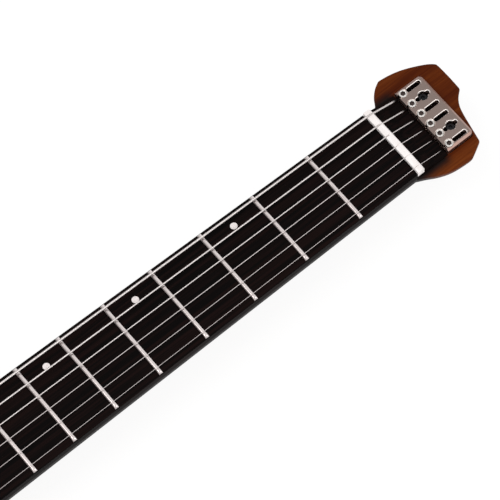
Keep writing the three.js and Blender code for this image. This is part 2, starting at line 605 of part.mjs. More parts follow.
function makeLockPlate() {
  const low = plateTopZ - plate.bevel;
  const outline = plateOutline(0);
  const at = (points, z) => points.map(([x, y]) => [x, y, z]);
  const shell = skin([at(outline, plateFloorZ), at(outline, low),
    at(insetOutline(outline, plate.bevel), plateTopZ)], [0, 1]);
  const cuts = [];
  for (let i = 0; i < stringCount; i += 1) {
    const y = yAtLock(i);
    const half = stringDiameters[i] / 2 + gap;
    const slotX = plateFrontX + slot.start;
    cuts.push(barZ(lock.radius + gap, entryZ - overrun, plateTopZ + overrun, lockX, y, facets.round));
    cuts.push(box(plateFrontX - overrun, slotX + overrun, y - half, y + half, plateFloorZ + slot.floor,
      entryZ + stringEntry.height / 2));
    cuts.push(box(plateFrontX - overrun, plateFrontX + plate.bevel * 1.5, y - half, y + half, entryZ,
      plateTopZ + overrun));
    cuts.push(box(slotX, slotX + slot.length, y - slot.width / 2, y + slot.width / 2,
      plateFloorZ + slot.floor, plateTopZ + overrun));
    if (screwStrings.includes(i)) {
      cuts.push(barZ(headScrew.radius + gap, plateFloorZ + slot.floor, plateTopZ + overrun, headScrewX, y,
        facets.round));
      cuts.push(barZ(headScrew.shankRadius + gap, plateFloorZ - overrun, plateFloorZ + slot.floor + overrun,
        headScrewX, y));
    }
  }
  return without(shell, ...cuts);
}
add('string_lock_plate', makeLockPlate(), 'satinNickel');

const hexKey = (radius, depth, top) => barZ(radius, top - depth, top + depth, 0, 0, facets.key);
const lockTopZ = plateTopZ + lock.proud;
const lockTipZ = entryZ + thickest / 2 + gap;
const lockBar = barZ(lock.radius, lockTipZ, lockTopZ, 0, 0, facets.round);
for (let i = 0; i < stringCount; i += 1) {
  add(`lock_screw_${i + 1}`, without(lockBar, hexKey(lock.keyRadius, lock.keyDepth, lockTopZ)), 'steel',
    lockX, yAtLock(i));
}
const headScrewProfile = [[0, headScrewTipZ], [headScrew.shankRadius, headScrewTipZ],
  [headScrew.shankRadius, headScrewSeatZ], [headScrew.radius, headScrewSeatZ],
  [headScrew.radius, headScrewTopZ], [0, headScrewTopZ]];
screwStrings.forEach((i, k) => {
  const screw = alongZ(turned(headScrewProfile, facets.small));
  const key = hexKey(headScrew.keyRadius, headScrew.keyDepth, headScrewTopZ);
  add(`headpiece_screw_${k + 1}`, without(screw, key), 'blackMetal', headScrewX, yAtLock(i));
});

// Pickups: black covers with two rows of poles each
for (const [name, x] of Object.entries(pickupX)) {
  const topZ = faceZ + pickup.rise;
  const spread = THREE.MathUtils.lerp(saddleSpread, nutSpread, x / scaleLength);
  const poles = [-1, 1].flatMap((side) => stringDiameters.map((_, i) => barZ(pole.radius, topZ - overrun,
    topZ + pole.rise, x + side * pole.rowSpread / 2, spread * stringShare(i))));
  const coverSolid = prism(pickupOutline(x, 0), topZ - pickup.height, topZ);
  add(`${name}_pickup`, joined(coverSolid, ...poles), 'blackPlastic');
}

// Bridge plate with its rear wall, and a stud and head through the foot of each saddle
function makeBridge() {
  const half = bridge.width / 2;
  const wallTopZ = faceZ + bridge.wallHeight;
  const baseOutline = roundedBox(bridge.wallBack, bridge.front, -half, half, bridge.corner);
  const base = prism(baseOutline, faceZ, faceZ + bridge.base);
  const wallHalf = (saddleSpread + saddlePitch) / 2 + bridge.corner / 2;
  const wallProfile = [[bridge.wallBack, faceZ], [bridge.wallFront, faceZ],
    [bridge.wallFront, wallTopZ - gap], [bridge.wallFront - gap, wallTopZ],
    [bridge.wallBack + gap, wallTopZ], [bridge.wallBack, wallTopZ - gap]];
  const wall = sideProfile(wallProfile, -wallHalf, wallHalf);
  const studs = [];
  const holes = [];
  const headZ = blockFloorZ + saddle.footHeight + gap;
  for (let i = 0; i < stringCount; i += 1) {
    const y = yAtSaddle(i);
    const headTopZ = headZ + saddleStud.headHeight;
    studs.push(barZ(saddleStud.radius, faceZ + bridge.base / 2, headTopZ, saddleStud.x, y));
    studs.push(barZ(saddleStud.headRadius, headZ, headTopZ, saddleStud.x, y));
    holes.push(barX(tuner.rodRadius + gap, bridge.wallBack - overrun, bridge.wallFront + overrun, y, rodZ));
  }
  for (const side of [-1, 1]) {
    holes.push(barZ(bridgeScrew.radius + gap, faceZ - overrun, faceZ + bridge.base + overrun, bridgeScrew.x,
      side * bridgeScrewY));
  }
  return without(joined(base, wall, ...studs), ...holes);
}
add('bridge_plate', makeBridge(), 'blackMetal');

const screwSeatZ = faceZ + bridge.base + gap;
const screwTopZ = screwSeatZ + bridgeScrew.headHeight;
const screwTipZ = faceZ + gap - bridgeScrew.length;
const bridgeScrewProfile = [[0, screwTipZ], [bridgeScrew.radius, screwTipZ], [bridgeScrew.radius, screwSeatZ],
  [bridgeScrew.headRadius, screwSeatZ], [bridgeScrew.headRadius, screwTopZ], [0, screwTopZ]];
[1, -1].forEach((side, k) => {
  add(`bridge_screw_${k + 1}`, alongZ(turned(bridgeScrewProfile, facets.small)), 'blackMetal', bridgeScrew.x,
    side * bridgeScrewY);
});

// Saddles, tuner blocks and thumb screws, one of each for every string
function makeSaddle(i) {
  const crestZ = saddleContactZ(i) - gap;
  const footZ = blockFloorZ + saddle.footHeight;
  const profile = [[saddle.back, blockFloorZ], [saddle.footFront, blockFloorZ], [saddle.footFront, footZ],
    [saddle.noseFront, footZ], [saddle.noseFront - saddle.crest, crestZ - saddle.rearFall / 2],
    [saddle.crest, crestZ], [-saddle.crest, crestZ], [saddle.back, crestZ - saddle.rearFall]];
  const wide = saddleStud.radius + gap;
  const reach = wide + saddleStud.travel;
  const slotOutline = roundedBox(saddleStud.x - reach, saddleStud.x + reach, -wide, wide, wide * 0.9,
    facets.slot);
  const slotCut = prism(slotOutline, blockFloorZ - overrun, footZ + overrun);
  return without(sideProfile(profile, -saddle.width / 2, saddle.width / 2), slotCut);
}

const blockTopZ = blockFloorZ + block.height;

function makeBlock() {
  const top = blockTopZ - block.bevel;
  const half = block.width / 2;
  const profile = [[blockBackX, blockFloorZ], [block.front, blockFloorZ], [block.front, top],
    [block.front - block.bevel, blockTopZ], [blockBackX + block.bevel, blockTopZ], [blockBackX, top]];
  const blank = sideProfile(profile, -half, half);
  const room = ball.radius + ball.room;
  const floor = ballZ - room;
  const pocketX = block.front - block.wall;
  return without(blank,
    barX(tuner.rodRadius + gap, blockBackX - overrun, block.front + overrun, 0, rodZ),
    box(pocketX - block.pocket, pocketX, -room, room, floor, blockTopZ + overrun),
    box(pocketX - overrun, block.front + overrun, -block.throat, block.throat, floor, blockTopZ + overrun));
}

function makeKnob() {
  const start = bridge.wallBack - gap * 2 - tuner.collar;
  const end = start - knurl.length;
  const ring = (x, radius) => {
    const points = [];
    for (let k = 0; k < knurl.flutes * 2; k += 1) {
      const angle = (k / knurl.flutes) * Math.PI;
      const r = radius - (k % 2) * knurl.depth;
      points.push([x, r * Math.cos(angle), r * Math.sin(angle)]);
    }
    return points;
  };
  const grip = skin([ring(start, knurl.radius - knurl.bevel), ring(start - knurl.bevel, knurl.radius),
    ring(end + knurl.bevel, knurl.radius), ring(end, knurl.radius - knurl.bevel)], [1, 2]);
  const collar = barX(tuner.collarRadius, start - overrun, start + tuner.collar, 0, 0, facets.round);
  const rod = barX(tuner.rodRadius, start - overrun, blockBackX + tuner.reach, 0, 0);
  return joined(grip, collar, rod);
}

const blockSolid = makeBlock();
const knobSolid = makeKnob();
for (let i = 0; i < stringCount; i += 1) {
  add(`saddle_${i + 1}`, makeSaddle(i), 'satinNickel', 0, yAtSaddle(i));
  add(`tuner_block_${i + 1}`, blockSolid, 'satinNickel', 0, yAtSaddle(i));
  add(`tuner_knob_${i + 1}`, knobSolid, 'blackMetal', 0, yAtSaddle(i), rodZ);
}

// Strings, from the ball end in its block over saddle and nut to the lock plate
function makeString(i) {
  const r = stringDiameters[i] / 2;
  const ballX = block.front - block.wall - gap;
  const crestZ = saddleContactZ(i) + r;
  const nutZ = nutContactZ(i) + r;
  const path = [
    [ballX - ball.length, yAtSaddle(i), ballZ, ball.radius],
    [ballX, yAtSaddle(i), ballZ, ball.radius],
    [ballX, yAtSaddle(i), ballZ, r],
    [0, yAtSaddle(i), crestZ, r],
    [scaleLength, yAtNut(i), nutZ, r],
    [nutBackX, yAtNut(i), nutZ - nut.backFall, r],
    [plateFrontX, yAtLock(i), entryZ, r],
    [tailX, yAtLock(i), tailZ, r],
  ];
  const ring = ([x, y, z, radius]) => Array.from({ length: facets.string }, (_, k) => {
    const angle = (k / facets.string) * Math.PI * 2;
    return [x, y + radius * Math.cos(angle), z + radius * Math.sin(angle)];
  });
  return skin(path.map(ring), [1, 2]);
}
for (let i = 0; i < stringCount; i += 1) add(`string_${i + 1}`, makeString(i), 'steel');

// Controls in the rear cavity
function makePot() {
  const potTop = cavityRoofZ - gap;
  const bushTop = faceZ + pot.bushRise;
  const profile = [[0, potTop - pot.height], [pot.radius, potTop - pot.height], [pot.radius, potTop],
    [pot.bushRadius, potTop], [pot.bushRadius, faceZ + gap], [pot.nutRadius, faceZ + gap],
    [pot.nutRadius, faceZ + gap + pot.nutRise], [pot.bushRadius, faceZ + gap + pot.nutRise],
    [pot.bushRadius, bushTop], [0, bushTop]];
  const bore = barZ(knob.shaftRadius + gap, potTop - pot.height * 0.6, bushTop + overrun, 0, 0, facets.round);
  return without(alongZ(turned(profile, facets.round)), bore);
}

function makeControlKnob() {
  const low = faceZ + knob.lift;
  const high = low + knob.length;
  const profile = [[0, low], [knob.radius, low], [knob.radius - knob.bevel / 2, high - knob.bevel],
    [knob.radius - knob.bevel * 1.5, high], [0, high]];
  const hollow = barZ(knob.hollowRadius, low - overrun, low + knob.hollow, 0, 0, facets.round);
  const shaft = barZ(knob.shaftRadius, cavityRoofZ - pot.height * 0.4, low + knob.hollow + overrun, 0, 0);
  return joined(without(alongZ(turned(profile, facets.fine)), hollow), shaft);
}

for (const [name, x, y] of potPlaces) {
  add(`${name}_pot`, makePot(), 'steel', x, y);
  add(`${name}_knob`, makeControlKnob(), 'blackMetal', x, y);
}

const leverPivotZ = faceZ - lever.pivotDrop;
function makeSelector() {
  const top = faceZ + selector.rise;
  const low = faceZ - selector.drop;
  const profile = [[0, low], [selector.flangeRadius, low], [selector.flangeRadius, cavityRoofZ - gap],
    [selector.radius, cavityRoofZ - gap], [selector.radius, faceZ + gap],
    [selector.flangeRadius, faceZ + gap], [selector.flangeRadius, faceZ + gap + selector.flange],
    [selector.radius, top], [0, top]];
  const bore = barZ(selector.throat, leverPivotZ - lever.below * 2, top + overrun, 0, 0, facets.round);
  return without(alongZ(turned(profile, facets.round)), bore);
}
add('selector_switch', makeSelector(), 'steel', ...selectorPlace);

const leverProfile = [[0, -lever.below], [lever.radius, -lever.below],
  [lever.radius, lever.height - lever.tipRadius], [lever.tipRadius, lever.height],
  [lever.tipRadius * 0.8, lever.height + lever.tipRadius],
  [0, lever.height + lever.tipRadius * 1.3]];
const leverBall = new THREE.SphereGeometry(selector.throat - gap, facets.small, facets.small / 2);
add('selector_lever', joined(alongZ(turned(leverProfile, facets.small)), leverBall), 'blackMetal',
  ...selectorPlace, leverPivotZ);

// Output jack in the tail edge, with a bore for a quarter inch plug
const jackEnd = jack.boreDepth + jack.behind;
const jackProfile = [[0, 0], [jack.flangeRadius, 0], [jack.flangeRadius, jack.flange],
  [jack.radius, jack.flange], [jack.radius, jackEnd], [0, jackEnd]];
const jackBore = barX(jack.boreRadius, -overrun, jack.boreDepth, 0, 0, facets.round);
add('output_jack', without(alongX(turned(jackProfile, facets.round)), jackBore), 'steel', jackFaceX, jackY,
  jackZ);

// Strap buttons on the horn and the tail
const buttonProfile = [[0, -strapButton.shank], [strapButton.shankRadius, -strapButton.shank],
  [strapButton.shankRadius, 0], [strapButton.footRadius, 0],
  [strapButton.waistRadius, strapButton.height * 0.35], [strapButton.waistRadius, strapButton.height * 0.6],
  [strapButton.headRadius, strapButton.height - strapButton.lip],
  [strapButton.headRadius, strapButton.height], [0, strapButton.height]];
const button = alongX(turned(buttonProfile, facets.round));
add('strap_button_horn', button, 'blackMetal', hornX + gap, strapY.horn, jackZ);
add('strap_button_tail', button.clone().rotateZ(Math.PI), 'blackMetal', body.tail - gap, strapY.tail,
  jackZ);

export default part;
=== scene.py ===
"""Dresses a headless electric guitar: its wood, metal and strings, and the studio that it lies in.

The guitar lies on its back: +X runs to the head, +Y to the bass side and +Z out of the face.
Lengths are in millimetres until a mesh is made, and a size that belongs to one piece is a field of its class.
"""

from __future__ import annotations

import logging
import math
from contextlib import contextmanager
from dataclasses import dataclass
from enum import Enum
from typing import Iterator, Sequence

import bpy
from mathutils import Matrix, Vector

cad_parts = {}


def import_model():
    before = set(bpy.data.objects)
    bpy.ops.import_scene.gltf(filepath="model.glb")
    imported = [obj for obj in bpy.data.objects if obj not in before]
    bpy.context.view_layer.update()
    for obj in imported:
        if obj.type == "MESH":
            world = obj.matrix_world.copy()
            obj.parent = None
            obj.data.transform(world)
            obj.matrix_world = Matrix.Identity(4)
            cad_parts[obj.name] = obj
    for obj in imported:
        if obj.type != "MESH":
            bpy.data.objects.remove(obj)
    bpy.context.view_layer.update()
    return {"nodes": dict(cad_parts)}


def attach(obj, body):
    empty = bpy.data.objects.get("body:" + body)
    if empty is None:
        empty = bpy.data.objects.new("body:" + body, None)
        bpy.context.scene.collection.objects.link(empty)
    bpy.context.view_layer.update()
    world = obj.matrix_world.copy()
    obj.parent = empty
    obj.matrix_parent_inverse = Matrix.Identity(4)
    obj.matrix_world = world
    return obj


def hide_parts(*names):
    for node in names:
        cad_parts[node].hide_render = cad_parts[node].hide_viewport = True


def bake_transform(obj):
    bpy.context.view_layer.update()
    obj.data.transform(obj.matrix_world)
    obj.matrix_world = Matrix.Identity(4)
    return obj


log = logging.getLogger("guitar")

MM = 0.001
SEAM = 1e-7  # points nearer than this, in metres, are sewn together
SLACK = 0.02  # leaves room for rounding where places are compared
GUITAR = "guitar"
STRINGS = range(6)
Flat = tuple[float, float]
Point = tuple[float, float, float]
Piece = bpy.types.Object
Tree = bpy.types.NodeTree
Node = bpy.types.Node
Socket = bpy.types.NodeSocket
Links = dict[str | int, Node | Socket]
Values = dict[str | int, object]
Paint = tuple[Links, Values]


# Shared layout


@dataclass(frozen=True)
class Layout:
    """Lengths that several pieces share."""

    scale: float = 648
    frets: int = 24
    face: float = 42
    board_top: float = 50.5
    neck_top: float = 45.5
    board_end: float = 156
    heel_floor: float = 26
    crown_radius: float = 400
    board_width: float = 42.2
    widening: float = 0.0301
    nut_back: float = 652
    plate_front: float = 667.8
    plate_top: float = 49.5
    saddle_spread: float = 52.5
    nut_spread: float = 36.2
    lock_spread: float = 35.2
    gauges: tuple[float, ...] = (1.17, 0.91, 0.66, 0.43, 0.33, 0.25)
    fret_height: float = 1.1
    nut_clearance: float = 0.4
    action: float = 3.3
    action_fall: float = 0.6
    rod_z: float = 46.9
    plate_z: float = 44.8
    gap: float = 0.3
    pickups: tuple[tuple[str, float], ...] = (("bridge_pickup", 38), ("neck_pickup", 126))
    pots: tuple[tuple[str, float, float], ...] = (("volume", -8, -84), ("tone", -44, -95))
    selector: Flat = (26, -92)
    jack: Flat = (-102, 21)

    def fret_x(self, number: int) -> float:
        """Returns where a fret stands, from the saddle line."""
        return self.scale * 2 ** (-number / 12)

    def width(self, x: float) -> float:
        """Returns the board's width at a place along it."""
        return self.board_width + self.widening * (self.scale - x)

    def crown(self, y: float) -> float:
        """Returns the height of the board's crown at y."""
        return self.board_top - (self.crown_radius - math.sqrt(self.crown_radius**2 - y**2))

    def plan(self, start: float, end: float, gap: float = 0) -> list[Flat]:
        """Returns the neck's outline between two places along it, `gap` wider on each side."""
        near, far = self.width(start) / 2 + gap, self.width(end) / 2 + gap
        return [(start, -near), (end, -far), (end, far), (start, near)]

    def across(self, string: int, spread: float) -> float:
        """Returns a string's y where the outer two are `spread` apart."""
        return spread * (0.5 - string / 5)

    def rows(self, spread: float) -> Iterator[tuple[int, float]]:
        """Yields each string's number, counted from 1, and its y."""
        for string in STRINGS:
            yield string + 1, self.across(string, spread)

    def nut_contact(self, string: int) -> float:
        """Returns the height of a string's underside at the nut."""
        y = self.across(string, self.nut_spread)
        return self.crown(y) + self.fret_height + self.nut_clearance

    def saddle_contact(self, string: int) -> float:
        """Returns the height of a string's underside at its saddle."""
        y = self.across(string, self.saddle_spread)
        return self.crown(y) + self.fret_height + self.action - self.action_fall * string / 5


LAY = Layout()


class Axis(Enum):
    """The direction that a piece made along +Z is laid in."""

    UP = Matrix.Identity(4)
    DOWN = Matrix.Rotation(math.pi, 4, "X")
    FORE = Matrix(((0, 0, 1, 0), (1, 0, 0, 0), (0, 1, 0, 0), (0, 0, 0, 1)))
    BACK = Matrix(((0, 0, -1, 0), (1, 0, 0, 0), (0, -1, 0, 0), (0, 0, 0, 1)))
    ACROSS = Matrix(((1, 0, 0, 0), (0, 0, -1, 0), (0, 1, 0, 0), (0, 0, 0, 1)))


# Modelling by hand


@contextmanager
def editing(piece: Piece) -> Iterator[None]:
    """Opens one piece in edit mode with all of it selected, and turns its faces outwards at the end."""
    alone(piece)
    bpy.ops.object.mode_set(mode="EDIT")
    bpy.ops.mesh.select_all(action="SELECT")
    yield
    bpy.ops.mesh.select_all(action="SELECT")
    bpy.ops.mesh.normals_make_consistent(inside=False)
    bpy.ops.object.mode_set(mode="OBJECT")


def alone(piece: Piece) -> None:
    """Selects one piece and nothing else."""
    bpy.ops.object.select_all(action="DESELECT")
    piece.select_set(True)
    bpy.context.view_layer.objects.active = piece


def metres(*lengths: float) -> list[float]:
    """Returns millimetres as metres."""
    return [length * MM for length in lengths]


def named(name: str) -> Piece:
    """Names the primitive that was just added, and moves its place into its mesh.

    Args:
        name: The piece's name.

    Returns:
        The piece, at the origin and unturned.
    """
    piece = bpy.context.object
    piece.name = piece.data.name = name
    piece.data.transform(piece.matrix_basis)
    piece.matrix_basis = Matrix.Identity(4)
    return piece


def moved(piece: Piece, axis: Axis = Axis.UP, place: Point = (0, 0, 0)) -> Piece:
    """Turns a piece from +Z to an axis and moves it, in its mesh.

    Args:
        piece: The piece.
        axis: The direction that its +Z goes to.
        place: Where its origin goes.

    Returns:
        The same piece.
    """
    piece.data.transform(Matrix.Translation(metres(*place)) @ axis.value)
    return piece


def slab(name: str, outline: Sequence[Flat], low: float, high: float, axis: Axis = Axis.UP) -> Piece:
    """A filled circle laid on an outline and extruded.

    Args:
        name: The piece's name.
        outline: Its corners in order.
        low: Where it starts along +Z.
        high: Where it ends.
        axis: The direction that +Z is laid in.

    Returns:
        The closed solid.
    """
    bpy.ops.mesh.primitive_circle_add(vertices=len(outline), fill_type="NGON")
    piece = named(name)
    piece.data.vertices.foreach_set("co", metres(*(value for x, y in outline for value in (x, y, low))))
    with editing(piece):
        bpy.ops.mesh.extrude_region_move(TRANSFORM_OT_translate={"value": metres(0, 0, high - low)})
    return moved(piece, axis)


def block(name: str, low: Point, high: Point) -> Piece:
    """A cube stretched between two corners.

    Args:
        name: The piece's name.
        low: Its lowest corner.
        high: Its highest corner.

    Returns:
        The closed solid.
    """
    middle = metres(*((a + b) / 2 for a, b in zip(low, high)))
    bpy.ops.mesh.primitive_cube_add(size=1, location=middle, scale=metres(*(b - a for a, b in zip(low, high))))
    return named(name)


def turned(
    name: str, profile: Sequence[Flat], axis: Axis = Axis.UP, place: Point = (0, 0, 0), sides: int = 48
) -> Piece:
    """A disc extruded and resized step by step, as a lathe would cut it.

    Args:
        name: The piece's name.
        profile: Radius and height of each step, from the first end to the last.
        axis: The direction that its +Z is laid in.
        place: Where its origin goes.
        sides: How many facets it has round.

    Returns:
        The closed solid.
    """
    radius, height = profile[0]
    bpy.ops.mesh.primitive_circle_add(vertices=sides, radius=radius * MM, fill_type="NGON",
                                      location=metres(0, 0, height))
    piece = named(name)
    with editing(piece):
        for wider, higher in profile[1:]:
            bpy.ops.mesh.extrude_region_move(TRANSFORM_OT_translate={"value": metres(0, 0, higher - height)})
            share = wider / radius
            bpy.ops.transform.resize(value=(share, share, 1), center_override=metres(0, 0, higher))
            radius, height = wider, higher
    return moved(piece, axis, place)


def loft(name: str, rings: Sequence[Sequence[Point]]) -> Piece:
    """A grid laid over rings of points, sewn along its seam and closed at both ends.

    Args:
        name: The piece's name.
        rings: Closed rings with as many points each.

    Returns:
        The closed solid.
    """
    bpy.ops.mesh.primitive_grid_add(x_subdivisions=len(rings[0]), y_subdivisions=len(rings) - 1)
    piece = named(name)
    rows = (value for ring in rings for point in (*ring, ring[0]) for value in point)
    piece.data.vertices.foreach_set("co", metres(*rows))
    with editing(piece):
        bpy.ops.mesh.remove_doubles(threshold=SEAM)
        bpy.ops.mesh.fill_holes(sides=0)
    return piece


def applied(piece: Piece, kind: str, **settings: object) -> Piece:
    """Adds a modifier and applies it.

    Args:
        piece: The piece.
        kind: Blender's name for the modifier.
        **settings: Its properties.

    Returns:
        The same piece.
    """
    modifier = piece.modifiers.new(kind.lower(), kind)
    for name, value in settings.items():
        setattr(modifier, name, value)
    alone(piece)
    bpy.ops.object.modifier_apply(modifier=modifier.name)
    return piece


def carved(piece: Piece, *tools: Piece, how: str = "DIFFERENCE") -> Piece:
    """Cuts tools out of a piece, or joins them to it, and throws the tools away.

    Args:
        piece: The piece.
        *tools: Closed solids.
        how: DIFFERENCE or UNION.

    Returns:
        The same piece.
    """
    for tool in tools:
        applied(piece, "BOOLEAN", operation=how, object=tool, solver="EXACT")
        bpy.data.objects.remove(tool, do_unlink=True)
    return piece


def rounded(piece: Piece, width: float, steps: int = 2, angle: float = 40) -> Piece:
    """Bevels the edges that turn by more than an angle.

    Args:
        piece: The piece.
        width: How wide the bevel is.
        steps: How many facets it has.
        angle: The angle in degrees.

    Returns:
        The same piece.
    """
    return applied(piece, "BEVEL", width=width * MM, segments=steps, limit_method="ANGLE",
                   angle_limit=math.radians(angle), use_clamp_overlap=True)


def smooth(piece: Piece, angle: float = 32) -> Piece:
    """Shades a piece smooth, with flats kept flat and edges sharper than an angle kept.

    Args:
        piece: The piece.
        angle: The angle in degrees.

    Returns:
        The same piece.
    """
    alone(piece)
    bpy.ops.object.shade_smooth_by_angle(angle=math.radians(angle))
    return applied(piece, "WEIGHTED_NORMAL", weight=80, keep_sharp=True)


def twin(piece: Piece, name: str, place: Point = (0, 0, 0)) -> Piece:
    """Copies a piece with a mesh of its own.

    Args:
        piece: The piece.
        name: The copy's name.
        place: How far the copy is moved.

    Returns:
        The copy.
    """
    copy = piece.copy()
    copy.data = piece.data.copy()
    copy.name = copy.data.name = name
    bpy.context.collection.objects.link(copy)
    return moved(copy, place=place)


def gathered(name: str, pieces: Sequence[Piece]) -> Piece:
    """Joins pieces into one object.

    Args:
        name: Its name.
        pieces: The pieces.

    Returns:
        The object.
    """
    alone(pieces[0])
    for piece in pieces:
        piece.select_set(True)
    bpy.ops.object.join()
    pieces[0].name = pieces[0].data.name = name
    return pieces[0]


def dropped(*pieces: Piece) -> None:
    """Throws patterns away once their copies are made."""
    for piece in pieces:
        bpy.data.objects.remove(piece, do_unlink=True)


def fluted(piece: Piece, count: int, heights: Flat, radii: Flat, share: float) -> Piece:
    """Draws every other edge of a piece turned along +Z inwards.

    Args:
        piece: The piece.
        count: How many flutes go round it.
        heights: Between which heights they lie.
        radii: Between which radii the edges stand.
        share: What is left of their radius.

    Returns:
        The same piece.
    """
    for vertex in piece.data.vertices:
        x, y, z = (value / MM for value in vertex.co)
        odd = round(math.atan2(y, x) / math.pi * count) % 2
        if odd and heights[0] < z < heights[1] and radii[0] < math.hypot(x, y) < radii[1]:
            vertex.co.xy *= share
    return piece


# Outlines


def ring_of(radius: float, sides: int, x: float = 0, y: float = 0, turn: float = 0) -> list[Flat]:
    """Returns the corners of a regular polygon."""
    angles = [turn + math.tau * k / sides for k in range(sides)]
    return [(x + radius * math.cos(a), y + radius * math.sin(a)) for a in angles]


def rounded_box(x0: float, x1: float, y0: float, y1: float, radius: float, steps: int = 8) -> list[Flat]:
    """Returns the corners of a rectangle with rounded corners."""
    points = []
    for k, (x, y) in enumerate(((x1 - radius, y0 + radius), (x1 - radius, y1 - radius),
                                (x0 + radius, y1 - radius), (x0 + radius, y0 + radius))):
        for step in range(steps + 1):
            angle = (k - 1 + step / steps) * math.pi / 2
            points.append((x + radius * math.cos(angle), y + radius * math.sin(angle)))
    return points


def curve(points: Sequence[Flat], steps: int) -> list[Flat]:
    """Returns a smooth line through points, with `steps` from each to the next."""
    line = []
    for k in range(len(points) - 1):
        a, b, c, d = points[max(k - 1, 0)], points[k], points[k + 1], points[min(k + 2, len(points) - 1)]
        for step in range(steps):
            t = step / steps
            line.append(tuple(
                b[i] + (c[i] - a[i]) / 2 * t
                + (-3 * b[i] + 3 * c[i] - (c[i] - a[i]) - (d[i] - b[i]) / 2) * t**2
                + (2 * b[i] - 2 * c[i] + (c[i] - a[i]) / 2 + (d[i] - b[i]) / 2) * t**3
                for i in (0, 1)))
    return [*line, tuple(points[-1])]


def evenly(line: Sequence[Flat], spacing: float) -> list[Flat]:
    """Returns a line's points set evenly, about `spacing` apart, ends included."""
    reach = [0.0]
    for a, b in zip(line, line[1:]):
        reach.append(reach[-1] + math.dist(a, b))
    count = max(round(reach[-1] / spacing), 2)
    points, k = [], 0
    for step in range(count + 1):
        wanted = reach[-1] * step / count
        while k < len(line) - 2 and reach[k + 1] < wanted:
            k += 1
        t = (wanted - reach[k]) / (reach[k + 1] - reach[k])
        points.append(tuple(a + (b - a) * t for a, b in zip(line[k], line[k + 1])))
    return points


def inset(points: Sequence[Flat], depth: float) -> list[Flat]:
    """Moves each point of a closed outline inwards, square to its two sides.

    Args:
        points: The outline, anticlockwise.
        depth: How far its sides move.

    Returns:
        The smaller outline.
    """
    count = len(points)

    def inward(k: int) -> Vector:
        """Returns the unit normal of one side."""
        (ax, ay), (bx, by) = points[k % count], points[(k + 1) % count]
        return Vector((ay - by, bx - ax)).normalized()

    moved_points = []
    for k, (x, y) in enumerate(points):
        before, after = inward(k - 1 + count), inward(k)
        reach = depth / (1 + before.dot(after))
        moved_points.append((x + (before.x + after.x) * reach, y + (before.y + after.y) * reach))
    return moved_points


def bent(before: Vector, corner: Vector, after: Vector, reach: float) -> list[Vector]:
    """Returns the points that round a corner, from `reach` before it to `reach` past it."""
    start = corner + (before - corner).normalized() * reach
    end = corner + (after - corner).normalized() * reach
    return [start * (1 - t) ** 2 + corner * 2 * t * (1 - t) + end * t**2 for t in (0.0, 0.25, 0.5, 0.75, 1.0)]


def rounded_slab(name: str, points: Sequence[Flat], low: float, high: float, radius: float, steps: int) -> Piece:
    """A slab whose upper and lower edges are rounded.

    Args:
        name: The piece's name.
        points: Its outline, anticlockwise.
        low: Its underside.
        high: Its top.
        radius: The radius of its edges.
        steps: How many facets each edge has.

    Returns:
        The closed solid.
    """
    quarter = [math.pi / 2 * k / steps for k in range(steps + 1)]
    layers = [(radius * (1 - math.cos(a)), radius * (1 - math.sin(a))) for a in quarter]
    levels = [(low + rise, depth) for rise, depth in layers]
    levels += [(high - rise, depth) for rise, depth in reversed(layers)]
    return loft(name, [[(x, y, z) for x, y in inset(points, depth)] for z, depth in levels])


# Finishes


def linear(code: str) -> tuple[float, float, float, float]:
    """Turns an sRGB hex colour into linear light.

    Args:
        code: The colour as #rrggbb.

    Returns:
        Red, green, blue and an alpha of 1.
    """
    parts = [int(code[k : k + 2], 16) / 255 for k in (1, 3, 5)]
    red, green, blue = (p / 12.92 if p <= 0.04045 else ((p + 0.055) / 1.055) ** 2.4 for p in parts)
    return red, green, blue, 1.0


def per(*lengths: float) -> list[float]:
    """Returns the scale at which one unit of a pattern is so many millimetres long."""
    return [1 / (length * MM) for length in lengths]


def node(
    tree: Tree,
    kind: str,
    links: Links | None = None,
    values: Values | None = None,
    stops: Sequence[tuple[float, str]] = (),
    **settings: object,
) -> Node:
    """Adds one node.

    Args:
        tree: The tree that it goes in.
        kind: Blender's name for the node, without ShaderNode in front.
        links: What feeds its inputs: a socket, or a node whose first output does.
        values: What its other inputs are set to.
        stops: Places and hex colours, where it has a colour band.
        **settings: Its own properties.

    Returns:
        The new node.
    """
    made = tree.nodes.new(f"ShaderNode{kind}")
    for name, value in settings.items():
        setattr(made, name, value)
    for name, value in (values or {}).items():
        made.inputs[name].default_value = value
    for name, source in (links or {}).items():
        tree.links.new(source.outputs[0] if isinstance(source, Node) else source, made.inputs[name])
    for _ in stops[2:]:
        made.color_ramp.elements.new(0.5)
    for k, (place, code) in enumerate(stops):
        made.color_ramp.elements[k].position = place
        made.color_ramp.elements[k].color = linear(code)
    return made


def emptied(owner: bpy.types.Material | bpy.types.World) -> Tree:
    """Returns the node tree of a new material or world, with nothing in it."""
    owner.use_nodes = True
    owner.node_tree.nodes.clear()
    return owner.node_tree


@dataclass(frozen=True)
class Finish:
    """A material, made the first time that a piece asks for it. Pattern sizes and reliefs are in millimetres."""

    slot: str = "steel"

    def paint(self, tree: Tree, place: Socket) -> Paint:
        """Draws the patterns.

        Args:
            tree: The material's tree.
            place: Object coordinates, in metres.

        Returns:
            What feeds the shader's sockets, and what its other sockets are set to.
        """
        raise NotImplementedError

    def material(self) -> bpy.types.Material:
        """Returns this finish as a material."""
        name = type(self).__name__
        if name not in bpy.data.materials:
            made = bpy.data.materials.new(name)
            tree = emptied(made)
            shader = node(tree, "BsdfPrincipled", *self.paint(tree, node(tree, "TexCoord").outputs["Object"]))
            node(tree, "OutputMaterial", {"Surface": shader})
        return bpy.data.materials[name]

    def cover(self, piece: Piece) -> None:
        """Makes this finish the only one on a piece."""
        piece.data.materials.clear()
        piece.data.materials.append(self.material())


